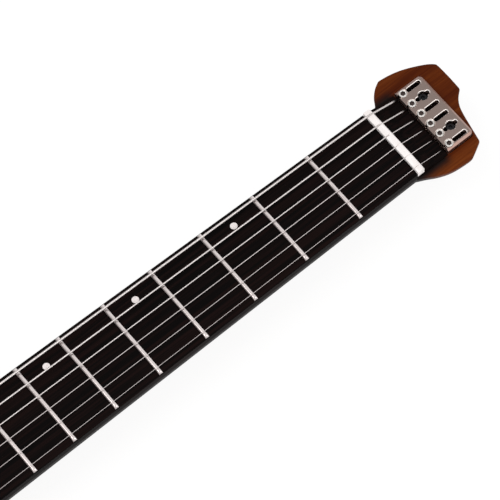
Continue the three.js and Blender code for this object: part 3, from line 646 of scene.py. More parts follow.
@dataclass(frozen=True)
class OiledMahogany(Finish):
    """Quarter-sawn mahogany, oiled: ribbon stripes, short dark open pores and a low satin sheen."""

    slot: str = "mahogany"
    dark: str = "#3d1001"
    middle: str = "#562306"
    light: str = "#6c3410"
    pore: str = "#3a1505"
    ribbon: Point = (160, 7, 7)
    fibre: Point = (30, 0.9, 0.9)
    pores: Point = (4.5, 0.35, 0.35)  # real pores are 0.15 mm wide, drawn coarser so that they show

    def paint(self, tree: Tree, place: Socket) -> Paint:
        """Mixes ribbons with fibre, and sinks dark pores in them."""
        wide, fine, small = (node(tree, "Mapping", {"Vector": place}, {"Scale": per(*size)})
                             for size in (self.ribbon, self.fibre, self.pores))
        ribbons = node(tree, "TexNoise", {"Vector": wide},
                       {"Scale": 1.0, "Detail": 4.0, "Roughness": 0.5, "Distortion": 0.4})
        fibres = node(tree, "TexNoise", {"Vector": fine}, {"Scale": 1.0, "Detail": 3.0})
        both = node(tree, "Mix", {2: ribbons, 3: fibres}, {0: 0.4}, data_type="FLOAT")
        colour = node(tree, "ValToRGB", {"Fac": both},
                      stops=[(0.32, self.dark), (0.5, self.middle), (0.68, self.light)])
        flecks = node(tree, "TexNoise", {"Vector": small}, {"Scale": 1.0, "Detail": 1.0})
        opened = node(tree, "ValToRGB", {"Fac": flecks}, stops=[(0.6, "#000000"), (0.72, "#aaaaaa")])
        mixed = node(tree, "Mix", {0: opened, 6: colour}, {7: linear(self.pore)}, data_type="RGBA")
        gloss = node(tree, "MapRange", {"Value": fibres}, {"To Min": 0.36, "To Max": 0.52})
        sunk = node(tree, "Math", {1: opened}, {0: 1.0}, operation="SUBTRACT")
        relief = node(tree, "Bump", {"Height": sunk}, {"Strength": 0.3, "Distance": 0.03 * MM})
        return ({"Base Color": self.with_painted_shade(tree, mixed.outputs[2], place), "Roughness": gloss, "Normal": relief},
                {"IOR": 1.5, "Specular IOR Level": 0.05})

    def with_painted_shade(self, tree: Tree, colour: Socket, place: Socket) -> Socket:
        """Returns the colour with any painted shade that is laid over the bare wood."""
        return colour


@dataclass(frozen=True)
class PaintedShadeMahogany(OiledMahogany):
    """The neck's mahogany with painted shade, near black beside the fingerboard and fading to brown on back and wings.
    """

    # the colour of the painted shade beside the board
    tone: str = "#130e0d"
    fade: float = 7
    depths: Flat = (33, 41)
    ends: Flat = (670, 664)

    def with_painted_shade(self, tree: Tree, colour: Socket, place: Socket) -> Socket:
        """Lays the painted shade by the distance from the board's edge, the depth and the place along the neck."""
        at = node(tree, "SeparateXYZ", {"Vector": place}).outputs
        across = node(tree, "Math", {0: at["Y"]}, operation="ABSOLUTE")
        slope = LAY.widening / 2
        past = node(tree, "Math", {0: at["X"], 2: across}, {1: slope}, operation="MULTIPLY_ADD")
        edge = LAY.board_width / 2 + slope * LAY.scale
        share = None
        for value, clear, full in ((past, edge + self.fade, edge), (at["Z"], *self.depths), (at["X"], *self.ends)):
            part = node(tree, "MapRange", {"Value": value}, {"From Min": clear * MM, "From Max": full * MM},
                        interpolation_type="SMOOTHSTEP")
            share = part if share is None else node(tree, "Math", {0: share, 1: part}, operation="MULTIPLY")
        return node(tree, "Mix", {0: share, 6: colour}, {7: linear(self.tone)}, data_type="RGBA").outputs[2]


@dataclass(frozen=True)
class OiledEbony(Finish):
    """Ebony planed and oiled: near black, with a few thin reddish streaks and a dull sheen."""

    slot: str = "ebony"
    black: str = "#080606"
    brown: str = "#160c0b"
    streak: Point = (90, 1.6, 1.6)
    fibre: Point = (14, 0.35, 0.35)  # real fibres are 0.1 mm wide

    def paint(self, tree: Tree, place: Socket) -> Paint:
        """Runs brown streaks along the board and a fine grain over them."""
        wide, fine = (node(tree, "Mapping", {"Vector": place}, {"Scale": per(*size)})
                      for size in (self.streak, self.fibre))
        streaks = node(tree, "TexNoise", {"Vector": wide}, {"Scale": 1.0, "Detail": 5.0, "Roughness": 0.6})
        fibres = node(tree, "TexNoise", {"Vector": fine}, {"Scale": 1.0, "Detail": 2.0})
        colour = node(tree, "ValToRGB", {"Fac": streaks}, stops=[(0.42, self.black), (0.62, self.brown)])
        gloss = node(tree, "MapRange", {"Value": fibres}, {"To Min": 0.42, "To Max": 0.6})
        relief = node(tree, "Bump", {"Height": fibres}, {"Strength": 0.3, "Distance": 0.03 * MM})
        return {"Base Color": colour, "Roughness": gloss, "Normal": relief}, {"IOR": 1.5, "Specular IOR Level": 0.025}


@dataclass(frozen=True)
class PolishedBone(Finish):
    """Bleached bone, sanded and buffed: off-white, slightly cloudy and a little translucent."""

    slot: str = "bone"
    pale: str = "#f8f2f0"
    warm: str = "#efe8e5"
    cloud: Point = (2.5, 7.5, 2.5)

    def paint(self, tree: Tree, place: Socket) -> Paint:
        """Clouds the white."""
        spread = node(tree, "Mapping", {"Vector": place}, {"Scale": per(*self.cloud)})
        clouds = node(tree, "TexNoise", {"Vector": spread}, {"Scale": 1.0, "Detail": 4.0})
        colour = node(tree, "ValToRGB", {"Fac": clouds}, stops=[(0.35, self.warm), (0.6, self.pale)])
        gloss = node(tree, "MapRange", {"Value": clouds}, {"To Min": 0.3, "To Max": 0.42})
        return {"Base Color": colour, "Roughness": gloss}, {"IOR": 1.54, "Specular IOR Level": 0.3}


@dataclass(frozen=True)
class Pearl(Finish):
    """Mother of pearl, cut and polished flush: pale grey with a soft shifting cloud."""

    slot: str = "bone"
    pale: str = "#f4ecea"
    grey: str = "#ddd4d2"
    cloud: Point = (1.2, 1.2, 1.2)

    def paint(self, tree: Tree, place: Socket) -> Paint:
        """Shades the pearl in small clouds."""
        spread = node(tree, "Mapping", {"Vector": place}, {"Scale": per(*self.cloud)})
        clouds = node(tree, "TexNoise", {"Vector": spread}, {"Scale": 1.0, "Detail": 3.0, "Distortion": 1.0})
        colour = node(tree, "ValToRGB", {"Fac": clouds}, stops=[(0.35, self.grey), (0.6, self.pale)])
        return {"Base Color": colour}, {"Roughness": 0.25, "Specular IOR Level": 0.3, "Coat Weight": 0.2}


@dataclass(frozen=True)
class Metal(Finish):
    """A metal: a base colour, a roughness band that wanders in patches, and fine scratches or grain."""

    colour: str = "#c9c7c2"
    smoothest: float = 0.2
    roughest: float = 0.32
    patch: Point = (3, 3, 3)
    relief: float = 0.004
    metallic: float = 1.0

    def paint(self, tree: Tree, place: Socket) -> Paint:
        """Wanders the roughness and lays a fine relief."""
        spread = node(tree, "Mapping", {"Vector": place}, {"Scale": per(*self.patch)})
        patches = node(tree, "TexNoise", {"Vector": spread}, {"Scale": 1.0, "Detail": 6.0})
        gloss = node(tree, "MapRange", {"Value": patches},
                     {"From Min": 0.3, "From Max": 0.7, "To Min": self.smoothest, "To Max": self.roughest})
        bump = node(tree, "Bump", {"Height": patches}, {"Strength": 0.5, "Distance": self.relief * MM})
        return {"Roughness": gloss, "Normal": bump}, {"Base Color": linear(self.colour), "Metallic": self.metallic}


@dataclass(frozen=True)
class SatinNickel(Metal):
    """Brass plated with satin nickel: blasted tops are a soft warm grey; chamfers, sides and lips get painted
    highlights, pinkish and near white.
    """

    slot: str = "satin_nickel"
    colour: str = "#84756f"
    # painted light: these colours go on surfaces by the way they face
    wall: str = "#a8928a"
    chamfer_highlight: str = "#a3867c"
    lip: str = "#fbf3ef"
    smoothest: float = 0.3
    roughest: float = 0.42
    patch: Point = (0.35, 0.35, 0.35)  # the blasted grain is 0.05 mm, drawn coarser
    relief: float = 0.012

    def paint(self, tree: Tree, place: Socket) -> Paint:
        """Paints highlights on the chamfers, the lips and the sides, which face away from the top."""
        links, values = super().paint(tree, place)
        facing = node(tree, "SeparateXYZ", {"Vector": node(tree, "NewGeometry").outputs["Normal"]})
        # painted highlights: the base colour follows the way the surface faces
        links["Base Color"] = node(tree, "ValToRGB", {"Fac": facing.outputs["Z"]},
                                   stops=[(0.0, self.wall), (0.5, self.lip), (0.65, self.lip), (0.69, self.chamfer_highlight),
                                          (0.8, self.chamfer_highlight), (0.96, self.colour)])
        return links, values


@dataclass(frozen=True)
class PolishedSteel(Metal):
    """Bright turned steel, as lock and pole screws have: clean and slightly blurred reflections."""

    colour: str = "#e2deda"
    smoothest: float = 0.14
    roughest: float = 0.26


@dataclass(frozen=True)
class FretWire(Metal):
    """Nickel silver wire, crowned and polished lengthwise: bright, a trace warm."""

    colour: str = "#e0d7d5"
    # painted shade on the flank that faces the body
    shaded_flank: str = "#857c7a"
    smoothest: float = 0.2
    roughest: float = 0.34
    patch: Point = (0.4, 6, 0.4)

    def paint(self, tree: Tree, place: Socket) -> Paint:
        """Paints shade on the flank on the body's side, away from the light."""
        links, values = super().paint(tree, place)
        facing = node(tree, "SeparateXYZ", {"Vector": node(tree, "NewGeometry").outputs["Normal"]})
        lit_share = node(tree, "MapRange", {"Value": facing}, {"From Min": -0.7, "From Max": 0.3})
        links["Base Color"] = node(tree, "ValToRGB", {"Fac": lit_share}, stops=[(0.15, self.shaded_flank), (0.9, self.colour)])
        return links, values


def painted_end_shade(tree: Tree, place: Socket, links: Links, values: Values) -> Paint:
    """Paints shade on a string's last millimetres before the lock plate, where it dips into the plate's shadow and
    mirrors the dark board.

    Args:
        tree: The material's tree.
        place: Object coordinates, in metres.
        links: What feeds the bright string's shader.
        values: What its other sockets are set to.

    Returns:
        The two, with the darker end in them.
    """
    at = node(tree, "SeparateXYZ", {"Vector": place})
    share = node(tree, "MapRange", {"Value": at},
                 {"From Min": (LAY.plate_front - 4.5) * MM, "From Max": (LAY.plate_front - 1.8) * MM},
                 interpolation_type="SMOOTHSTEP")
    parts = {0: share, 6: links["Base Color"]} if "Base Color" in links else {0: share}
    bright = values.pop("Base Color", linear("#ffffff"))
    mixed = node(tree, "Mix", parts, {6: bright, 7: linear("#141010")}, data_type="RGBA")
    return links | {"Base Color": mixed.outputs[2]}, values


@dataclass(frozen=True)
class PlainString(Metal):
    """Drawn and polished steel wire."""

    colour: str = "#cfc6c4"
    smoothest: float = 0.16
    roughest: float = 0.28
    patch: Point = (9, 0.2, 0.2)

    def paint(self, tree: Tree, place: Socket) -> Paint:
        """Paints it as any metal, with painted shade on its end."""
        return painted_end_shade(tree, place, *super().paint(tree, place))


@dataclass(frozen=True)
class Brass(Metal):
    """Turned brass of the ball ends, dulled by handling."""

    colour: str = "#b58a45"
    smoothest: float = 0.25
    roughest: float = 0.45


@dataclass(frozen=True)
class BlackPlating(Metal):
    """Steel under black chrome: near black with a cool sheen, rubbed a little on its faces."""

    slot: str = "black_metal"
    colour: str = "#29292b"
    smoothest: float = 0.28
    roughest: float = 0.42
    patch: Point = (0.8, 0.8, 0.8)
    relief: float = 0.006


@dataclass(frozen=True)
class SocketShade(Metal):
    """A dark metal with almost no sheen, laid inside key sockets as painted shade."""

    colour: str = "#4a3e3a"
    smoothest: float = 0.5
    roughest: float = 0.7
    patch: Point = (0.5, 0.5, 0.5)
    metallic: float = 0.5


@dataclass(frozen=True)
class Ribbed(Finish):
    """Metal with turns round the X axis: the wrap of a wound string, or a cut thread."""

    colour: str = "#d6cfcd"
    # painted shade in the grooves between the turns
    groove: str = "#97908d"
    pitch: float = 0.45
    depth: float = 0.08
    roughness: float = 0.3

    def paint(self, tree: Tree, place: Socket) -> Paint:
        """Raises rings every pitch along X and paints shade into the grooves."""
        scaled = node(tree, "Mapping", {"Vector": place}, {"Scale": per(*[self.pitch * 20 / math.tau] * 3)})
        turns = node(tree, "TexWave", {"Vector": scaled}, {"Scale": 1.0},
                     wave_type="BANDS", bands_direction="X", wave_profile="SIN").outputs["Fac"]
        shade = node(tree, "ValToRGB", {"Fac": turns}, stops=[(0.0, self.groove), (0.45, self.colour)])
        relief = node(tree, "Bump", {"Height": turns}, {"Strength": 0.7, "Distance": self.depth * MM})
        return {"Base Color": shade, "Normal": relief}, {"Metallic": 1.0, "Roughness": self.roughness}


@dataclass(frozen=True)
class WoundString(Ribbed):
    """Steel core wrapped in nickel-plated wire of 0.2 mm, drawn at 0.45 mm so that the turns show."""

    def paint(self, tree: Tree, place: Socket) -> Paint:
        """Paints the turns, with painted shade on its end."""
        return painted_end_shade(tree, place, *super().paint(tree, place))


@dataclass(frozen=True)
class CutThread(Ribbed):
    """The tuner screws' steel thread, which really has this pitch."""

    colour: str = "#8d8a88"
    # painted shade in the thread's grooves
    groove: str = "#4e4b49"
    pitch: float = 0.8
    depth: float = 0.2


@dataclass(frozen=True)
class MouldedPlastic(Finish):
    """Black ABS with a fine spark-eroded grain: dark, even, with a broad dull sheen."""

    slot: str = "black_plastic"
    colour: str = "#131314"
    gloss: Flat = (0.39, 0.53)
    grain: Point = (0.5, 0.5, 0.5)  # the real grain is 0.1 mm, drawn coarser

    def paint(self, tree: Tree, place: Socket) -> Paint:
        """Pebbles the surface."""
        spread = node(tree, "Mapping", {"Vector": place}, {"Scale": per(*self.grain)})
        pebbles = node(tree, "TexVoronoi", {"Vector": spread}, {"Scale": 1.0})
        relief = node(tree, "Bump", {"Height": pebbles}, {"Strength": 0.3, "Distance": 0.02 * MM})
        broad = node(tree, "TexNoise", {"Vector": place}, {"Scale": 60.0, "Detail": 3.0})
        gloss = node(tree, "MapRange", {"Value": broad}, {"To Min": self.gloss[0], "To Max": self.gloss[1]})
        return ({"Roughness": gloss, "Normal": relief},
                {"Base Color": linear(self.colour), "IOR": 1.53, "Specular IOR Level": 0.3})


# Sub-assemblies


@dataclass
class Assembly:
    """Something that makes pieces and dresses them."""

    def build(self) -> None:
        """Makes every piece."""
        raise NotImplementedError

    def dress(self, piece: Piece, finish: Finish, body: str = GUITAR, stands_for: Sequence[str] = ()) -> None:
        """Gives a finished piece its material and its body.

        Args:
            piece: The piece.
            finish: Its finish, which knows its material slot.
            body: The body that it moves with.
            stands_for: The CAD nodes that it replaces.
        """
        finish.cover(piece)
        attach(piece, body)
        if stands_for:
            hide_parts(*stands_for)
        log.info("%s rides on %s in %s", piece.name, body, type(finish).__name__)


def bar(
    name: str, radius: float, low: float, high: float, axis: Axis = Axis.UP, place: Point = (0, 0, 0), sides: int = 40
) -> Piece:
    """Returns a plain round bar."""
    return turned(name, [(radius, low), (radius, high)], axis, place, sides)


def keyed(piece: Piece, radius: float, low: float, high: float) -> Piece:
    """Sinks a hexagonal key socket into a screw that stands upright."""
    return carved(piece, slab("key", ring_of(radius, 6), low, high))


def crowned(x: float, half: float, floor: float, lift: float, broken: float, around: int) -> list[Point]:
    """Returns one section of a bar whose top follows the board's crown and whose upper edges are broken."""
    ring = [(x, half, floor), (x, -half, floor)]
    for k in range(around + 1):
        y = -half + 2 * half * k / around
        ring.append((x, y, LAY.crown(y) + lift - (broken if k in (0, around) else 0)))
    return ring


@dataclass
class Body(Assembly):
    """The solid body: rounded slab, arm and belly contours, and the routes for all that it carries."""

    tail: float = -104
    half_width: float = 156.85
    run: float = 318
    edge: float = 7
    edge_steps: int = 12
    notch_half: float = 38.5
    notch_x: float = -44
    flare: float = 42.5
    mouth_half: float = 31
    mouth_start: float = 0.082
    mouth_end: float = 0.981
    pocket_end: float = 228
    over: float = 1
    arm_fall: Flat = (13, 70)
    arm_place: Flat = (0, 90)
    arm_turn: float = 0.19
    belly_radius: float = 150
    belly_place: Flat = (75, 128.3033)
    belly_depth: float = 13
    belly_tilt: float = math.radians(60)
    treble: tuple[Flat, ...] = (
        (0.031, -0.395), (0.000, -0.586), (0.016, -0.790), (0.075, -0.930), (0.186, -1.000), (0.311, -0.962),
        (0.453, -0.854), (0.579, -0.745), (0.689, -0.701), (0.814, -0.726), (0.925, -0.771), (1.035, -0.796),
        (1.113, -0.758), (1.148, -0.662), (1.138, -0.573), (1.107, -0.484), (1.057, -0.395), (1.013, -0.306),
        (0.987, -0.242),
    )
    bass: tuple[Flat, ...] = (
        (1.009, 0.242), (1.038, 0.306), (1.097, 0.395), (1.176, 0.471), (1.245, 0.561), (1.264, 0.656),
        (1.220, 0.758), (1.129, 0.803), (1.003, 0.771), (0.877, 0.707), (0.752, 0.675), (0.642, 0.713),
        (0.531, 0.809), (0.406, 0.924), (0.264, 0.962), (0.145, 0.911), (0.057, 0.777), (0.022, 0.573),
        (0.038, 0.369),
    )

    def outline(self) -> list[Flat]:
        """Returns the outline, anticlockwise from the treble side of the tail."""
        mouth = self.tail + self.mouth_start * self.run
        at = [[(self.tail + x * self.run, y * self.half_width) for x, y in side] for side in (self.treble, self.bass)]
        treble = curve([(mouth, -self.flare), *at[0], (self.tail + self.mouth_end * self.run, -self.mouth_half)], 7)
        bass = curve([(self.tail + self.run, self.mouth_half), *at[1], (mouth, self.flare)], 7)
        return [*treble, *bass, (self.notch_x, self.notch_half), (self.notch_x, -self.notch_half)]

    def contours(self) -> list[Piece]:
        """Returns the cutters for the arm bevel and the belly."""
        arm = block("arm", (-self.run, 0, 0), (self.run, 140, LAY.face))
        slope = Matrix.Rotation(self.arm_turn, 4, "Z") @ Matrix.Rotation(-math.atan2(*self.arm_fall), 4, "X")
        arm.data.transform(Matrix.Translation(metres(*self.arm_place, LAY.face)) @ slope)
        (x, y), radius, tilt = self.belly_place, self.belly_radius, self.belly_tilt
        belly = bar("belly", radius, -radius, radius, sides=160)
        centre = metres(x, y + radius * math.sin(tilt), self.belly_depth - radius * math.cos(tilt))
        belly.data.transform(Matrix.Translation(centre) @ Matrix.Rotation(tilt - math.pi / 2, 4, "X"))
        return [arm, belly]

    def routes(self) -> list[Piece]:
        """Returns the cutters for the neck, pickups, controls, jack and plates."""
        over = LAY.face + self.over
        tools = [
            slab("pocket", LAY.plan(LAY.board_end - LAY.gap, self.pocket_end, LAY.gap), LAY.heel_floor, over),
            block("wheel_room", (148.5, -6.1, 35.2), (156, 6.1, over)),
            slab("hollow", rounded_box(-72, 42, -116, -68, 12), -self.over, 36),
            slab("rebate", rounded_box(-76, 46, -120, -64, 16), -self.over, 2.7),
            slab("plate_seat", rounded_box(160.7, 207.3, -22.3, 22.3, 3.3), -self.over, 3.3),
            bar("lever_hole", 6.1, 35, over, place=(*LAY.selector, 0)),
            bar("jack_hole", 6.3, -105, -71, Axis.FORE, (0, *LAY.jack), 48),
            bar("jack_seat", 9.3, -109.2, -101, Axis.FORE, (0, *LAY.jack), 48),
        ]
        tools += [slab("pickup_route", rounded_box(x - 18.5, x + 18.5, -35.5, 35.5, 3.5), 28, over)
                  for _, x in LAY.pickups]
        return tools + [bar("pot_hole", 3.9, 35, over, place=(x, y, 0)) for _, x, y in LAY.pots]

    def build(self) -> None:
        """Makes the body."""
        body = rounded_slab("body_wood", self.outline(), 0, LAY.face, self.edge, self.edge_steps)
        carved(body, *self.contours(), *self.routes())
        self.dress(smooth(body, 9.5), OiledMahogany(), stands_for=["body"])


@dataclass
class Neck(Assembly):
    """The one-piece neck: heel, rounded shaft and the small winged head."""

    depth_at_nut: float = 15
    depth_at_heel: float = 17.5
    heel_depth: float = 19.2
    mouth: float = 214
    heel_end: float = 219
    head_length: float = 47.98
    head_half: float = 32.5
    head_thickness: float = 13
    head_edge: float = 1.2
    head_rim: float = 1.8
    heel_power: float = 6
    shaft_power: float = 2.3
    heel_share: float = 0.22
    head_foot: float = 0.72
    head_lean: float = math.pi / 8
    corner_reach: float = 0.8
    head_step: float = 1.5
    shoulder: float = 3
    stations: int = 36
    around: int = 40
    head_runs: tuple[tuple[Flat, ...], ...] = (
        ((-0.042, 0.631), (0.135, 0.631), (0.190, 0.702), (0.246, 0.828), (0.319, 0.932), (0.400, 1.000)),
        ((0.400, 1.000), (0.531, 0.975), (0.665, 0.923), (0.798, 0.840), (0.912, 0.751), (0.971, 0.686)),
        ((0.971, 0.686), (0.992, 0.634), (0.998, 0.369), (0.994, 0.105)),
        ((0.994, 0.105), (0.917, 0.003), (0.867, -0.111), (0.838, -0.237), (0.806, -0.452), (0.763, -0.763)),
        ((0.763, -0.763), (0.670, -0.842), (0.576, -0.916)),
        ((0.576, -0.916), (0.438, -0.905), (0.310, -0.874), (0.183, -0.802), (0.081, -0.719), (-0.042, -0.631)),
    )

    def ring(self, x: float, depth: float, width: float, power: float, sunk: float = 0) -> list[Point]:
        """Returns one section of the shaft, from the bass edge round the back to the treble edge."""
        ring = []
        for k in range(self.around + 1):
            angle = math.pi * k / self.around
            across, down = math.cos(angle), abs(math.sin(angle))
            y = math.copysign(abs(across) ** (2 / power) * width / 2, across)
            ring.append((x, y, LAY.neck_top - sunk - depth * down ** (2 / power)))
        return ring

    def shaft(self) -> Piece:
        """Returns the shaft."""
        rings = []
        for k in range(self.stations + 1):
            share = k / self.stations
            x = self.mouth + share * (LAY.scale - self.shoulder - self.mouth)
            t = min(share / self.heel_share, 1)
            mix = t * t * (3 - 2 * t)
            slender = self.depth_at_heel + (self.depth_at_nut - self.depth_at_heel) * share
            depth = self.heel_depth + (slender - self.heel_depth) * mix
            power = self.heel_power + (self.shaft_power - self.heel_power) * mix
            rings.append(self.ring(x, depth, LAY.width(x), power))
        rings.append(self.ring(LAY.scale + self.head_length / 2, self.head_thickness - self.head_edge,
                               LAY.board_width, self.shaft_power, self.head_edge / 2))
        return loft("neck_wood", rings)

    def head_outline(self) -> list[Flat]:
        """Returns the head's outline, anticlockwise, its free corners a little rounded."""
        place = [[(LAY.scale + x * self.head_length, y * self.head_half) for x, y in run] for run in self.head_runs]
        sides = [evenly(curve(run, 8), self.head_step) for run in place]
        outline = sides[0][:-1]
        for last, side in zip(sides, sides[1:]):
            outline += map(tuple, bent(Vector(last[-2]), Vector(side[0]), Vector(side[1]), self.corner_reach))
            outline += side[1:-1]
        return [*outline, sides[-1][-1]][::-1]

    def head(self) -> Piece:
        """Returns the head, its sides leaning in below the rim as if carved from behind."""
        outline, rings = self.head_outline(), []
        middle, steps = LAY.plate_front, 9
        lean = self.head_lean
        for k in range(steps, -1, -1):
            angle = lean + (math.pi / 2 - lean) * k / steps
            down = (math.sin(angle) - math.sin(lean)) / (1 - math.sin(lean))
            z = LAY.neck_top - self.head_rim - (self.head_thickness - self.head_rim) * down
            share = self.head_foot + (1 - self.head_foot) * math.cos(angle) / math.cos(lean)
            rings.append([(middle + (x - middle) * share, y * share, z) for x, y in outline])
        for k in range(7):
            angle = math.pi / 2 * k / 6
            z = LAY.neck_top - self.head_edge * (1 - math.sin(angle))
            rings.append([(x, y, z) for x, y in inset(outline, self.head_edge * (1 - math.cos(angle)))])
        return loft("head", rings)

    def build(self) -> None:
        """Makes the neck."""
        heel = slab("heel", LAY.plan(LAY.board_end, self.heel_end), LAY.heel_floor, LAY.neck_top)
        neck = carved(self.shaft(), self.head(), heel, how="UNION")
        channel = block("channel", (155, -3.3, 38), (640.3, 3.3, 46.5))
        seat = slab("plate_seat", rounded_box(667.5, 684.5, -20.8, 20.8, 2.2), 44, 46.5)
        carved(neck, channel, seat)
        self.dress(smooth(neck, 28), PaintedShadeMahogany(), stands_for=["neck"])


@dataclass
class Fingerboard(Assembly):
    """The crowned ebony board with its frets and flush markers."""

    floor: float = 45.5
    slot_floor: float = 47.5
    ramp_end: float = 660.7
    ramp_floor: float = 46.5
    edge: float = 0.3
    around: int = 24
    end_drop: float = 0.6
    rear_drop: float = 0.8
    fret_half: float = 1.2
    fret_foot: float = 0.6
    fret_inset: float = 0.4
    fret_end: float = 0.25
    fret_full: float = 0.75
    dot_radius: float = 1.85
    dot_depth: float = 1
    proud: float = 0.02
    dot_y: float = 15
    side_z: float = 48.4
    dots: tuple[int, ...] = (3, 5, 7, 9, 12, 15, 17, 19, 21, 24)

    def ring(self, x: float, height: float | None = None, drop: float = 0) -> list[Point]:
        """Returns one section of the board, crowned unless it has a flat height."""
        ring = crowned(x, LAY.width(x) / 2, self.floor, -drop, self.edge, self.around)
        return ring if height is None else [*ring[:2], *((x, y, height) for x, y, _ in ring[2:])]

    def build(self) -> None:
        """Makes the board, frets and markers."""
        front, back = LAY.scale - LAY.gap, LAY.nut_back + LAY.gap
        rings = [self.ring(LAY.board_end, drop=self.end_drop), self.ring(LAY.board_end + LAY.gap), self.ring(front),
                 self.ring(front, self.slot_floor), self.ring(back, self.slot_floor),
                 self.ring(back, drop=self.rear_drop), self.ring(self.ramp_end, self.ramp_floor),
                 self.ring(LAY.plate_front - 2 * LAY.gap, self.ramp_floor)]
        self.dress(smooth(loft("fingerboard", rings), 25), OiledEbony(), stands_for=["fretboard"])
        self.frets()
        self.markers()

    def frets(self) -> None:
        """Makes each fret over the board's crown, lower at its two ends."""
        foot = [(-self.fret_half, -self.fret_foot), (-self.fret_half, 0)]
        angles = [math.pi * k / 12 for k in range(1, 12)]
        profile = [*foot, *((-self.fret_half * math.cos(a), LAY.fret_height * math.sin(a) ** self.fret_full)
                            for a in angles), *((-x, z) for x, z in foot[::-1])]
        shares = [-0.5, *(-0.48 + 0.96 * k / 30 for k in range(31)), 0.5]
        for number in range(1, LAY.frets + 1):
            middle = LAY.fret_x(number)
            width = LAY.width(middle) - 2 * self.fret_inset
            rings = []
            for share in shares:
                y, tall = share * width, self.fret_end if abs(share) == 0.5 else 1
                rings.append([(middle + x, y, LAY.crown(y) + (z * tall if z > 0 else z)) for x, z in profile])
            self.dress(smooth(loft(f"fret_{number}", rings), 50), FretWire())

    def inlaid(self, dot: Piece) -> Piece:
        """Lets a dot's top follow the board's crown, a hair above it."""
        floor = min(vertex.co.z for vertex in dot.data.vertices)
        for vertex in dot.data.vertices:
            if vertex.co.z > floor + self.dot_depth / 2 * MM:
                vertex.co.z = (LAY.crown(vertex.co.y / MM) + self.proud) * MM
        return dot

    def markers(self) -> None:
        """Sets the pearl dots between the bass strings and small ones in the board's bass edge."""
        face = bar("dot", self.dot_radius, 0, self.dot_depth)
        edge = bar("side_dot", 0.8, 0, 1.03, Axis.ACROSS, sides=24)
        for number in self.dots:
            x = (LAY.fret_x(number) + LAY.fret_x(number - 1)) / 2
            offsets = (-4, 4) if number in (12, 24) else (0,)
            for k, offset in enumerate(offsets):
                place = (x + offset, self.dot_y, LAY.board_top - self.dot_depth - 0.2)
                dot = self.inlaid(twin(face, f"marker_{number}_{k + 1}", place))
                self.dress(smooth(dot), Pearl())
                y = LAY.width(x + offset) / 2 + 0.03
                side = twin(edge, f"side_marker_{number}_{k + 1}", (x + offset, y, self.side_z))
                self.dress(smooth(side), Pearl())
        dropped(face, edge)


@dataclass
class Nut(Assembly):
    """The bone nut, whose rounded slots carry the strings."""

    rise: float = 2.1
    corner: float = 0.35
    play: float = 0.04
    around: int = 32
    profile: tuple[Flat, ...] = ((648, 0.45), (648.35, 0.1), (648.9, 0), (650.6, 0.05), (651.5, 0.35), (652, 0.8))
    floor: float = 47.5

    def build(self) -> None:
        """Makes the nut."""
        nut = loft("nut_bone", [crowned(x, LAY.board_width / 2, self.floor, self.rise - fall, self.corner, self.around)
                                for x, fall in self.profile])
        for string in STRINGS:
            radius = LAY.gauges[string] / 2 + self.play
            y, low = LAY.across(string, LAY.nut_spread), LAY.nut_contact(string)
            shape = [(y - radius, 54), *((y - radius * math.cos(a), low + radius * (1 - math.sin(a)))
                     for a in (math.pi * k / 12 for k in range(13))), (y + radius, 54)]
            carved(nut, slab("slot", shape, 647, 653, Axis.FORE))
        self.dress(smooth(nut, 35), PolishedBone(), stands_for=["nut"])


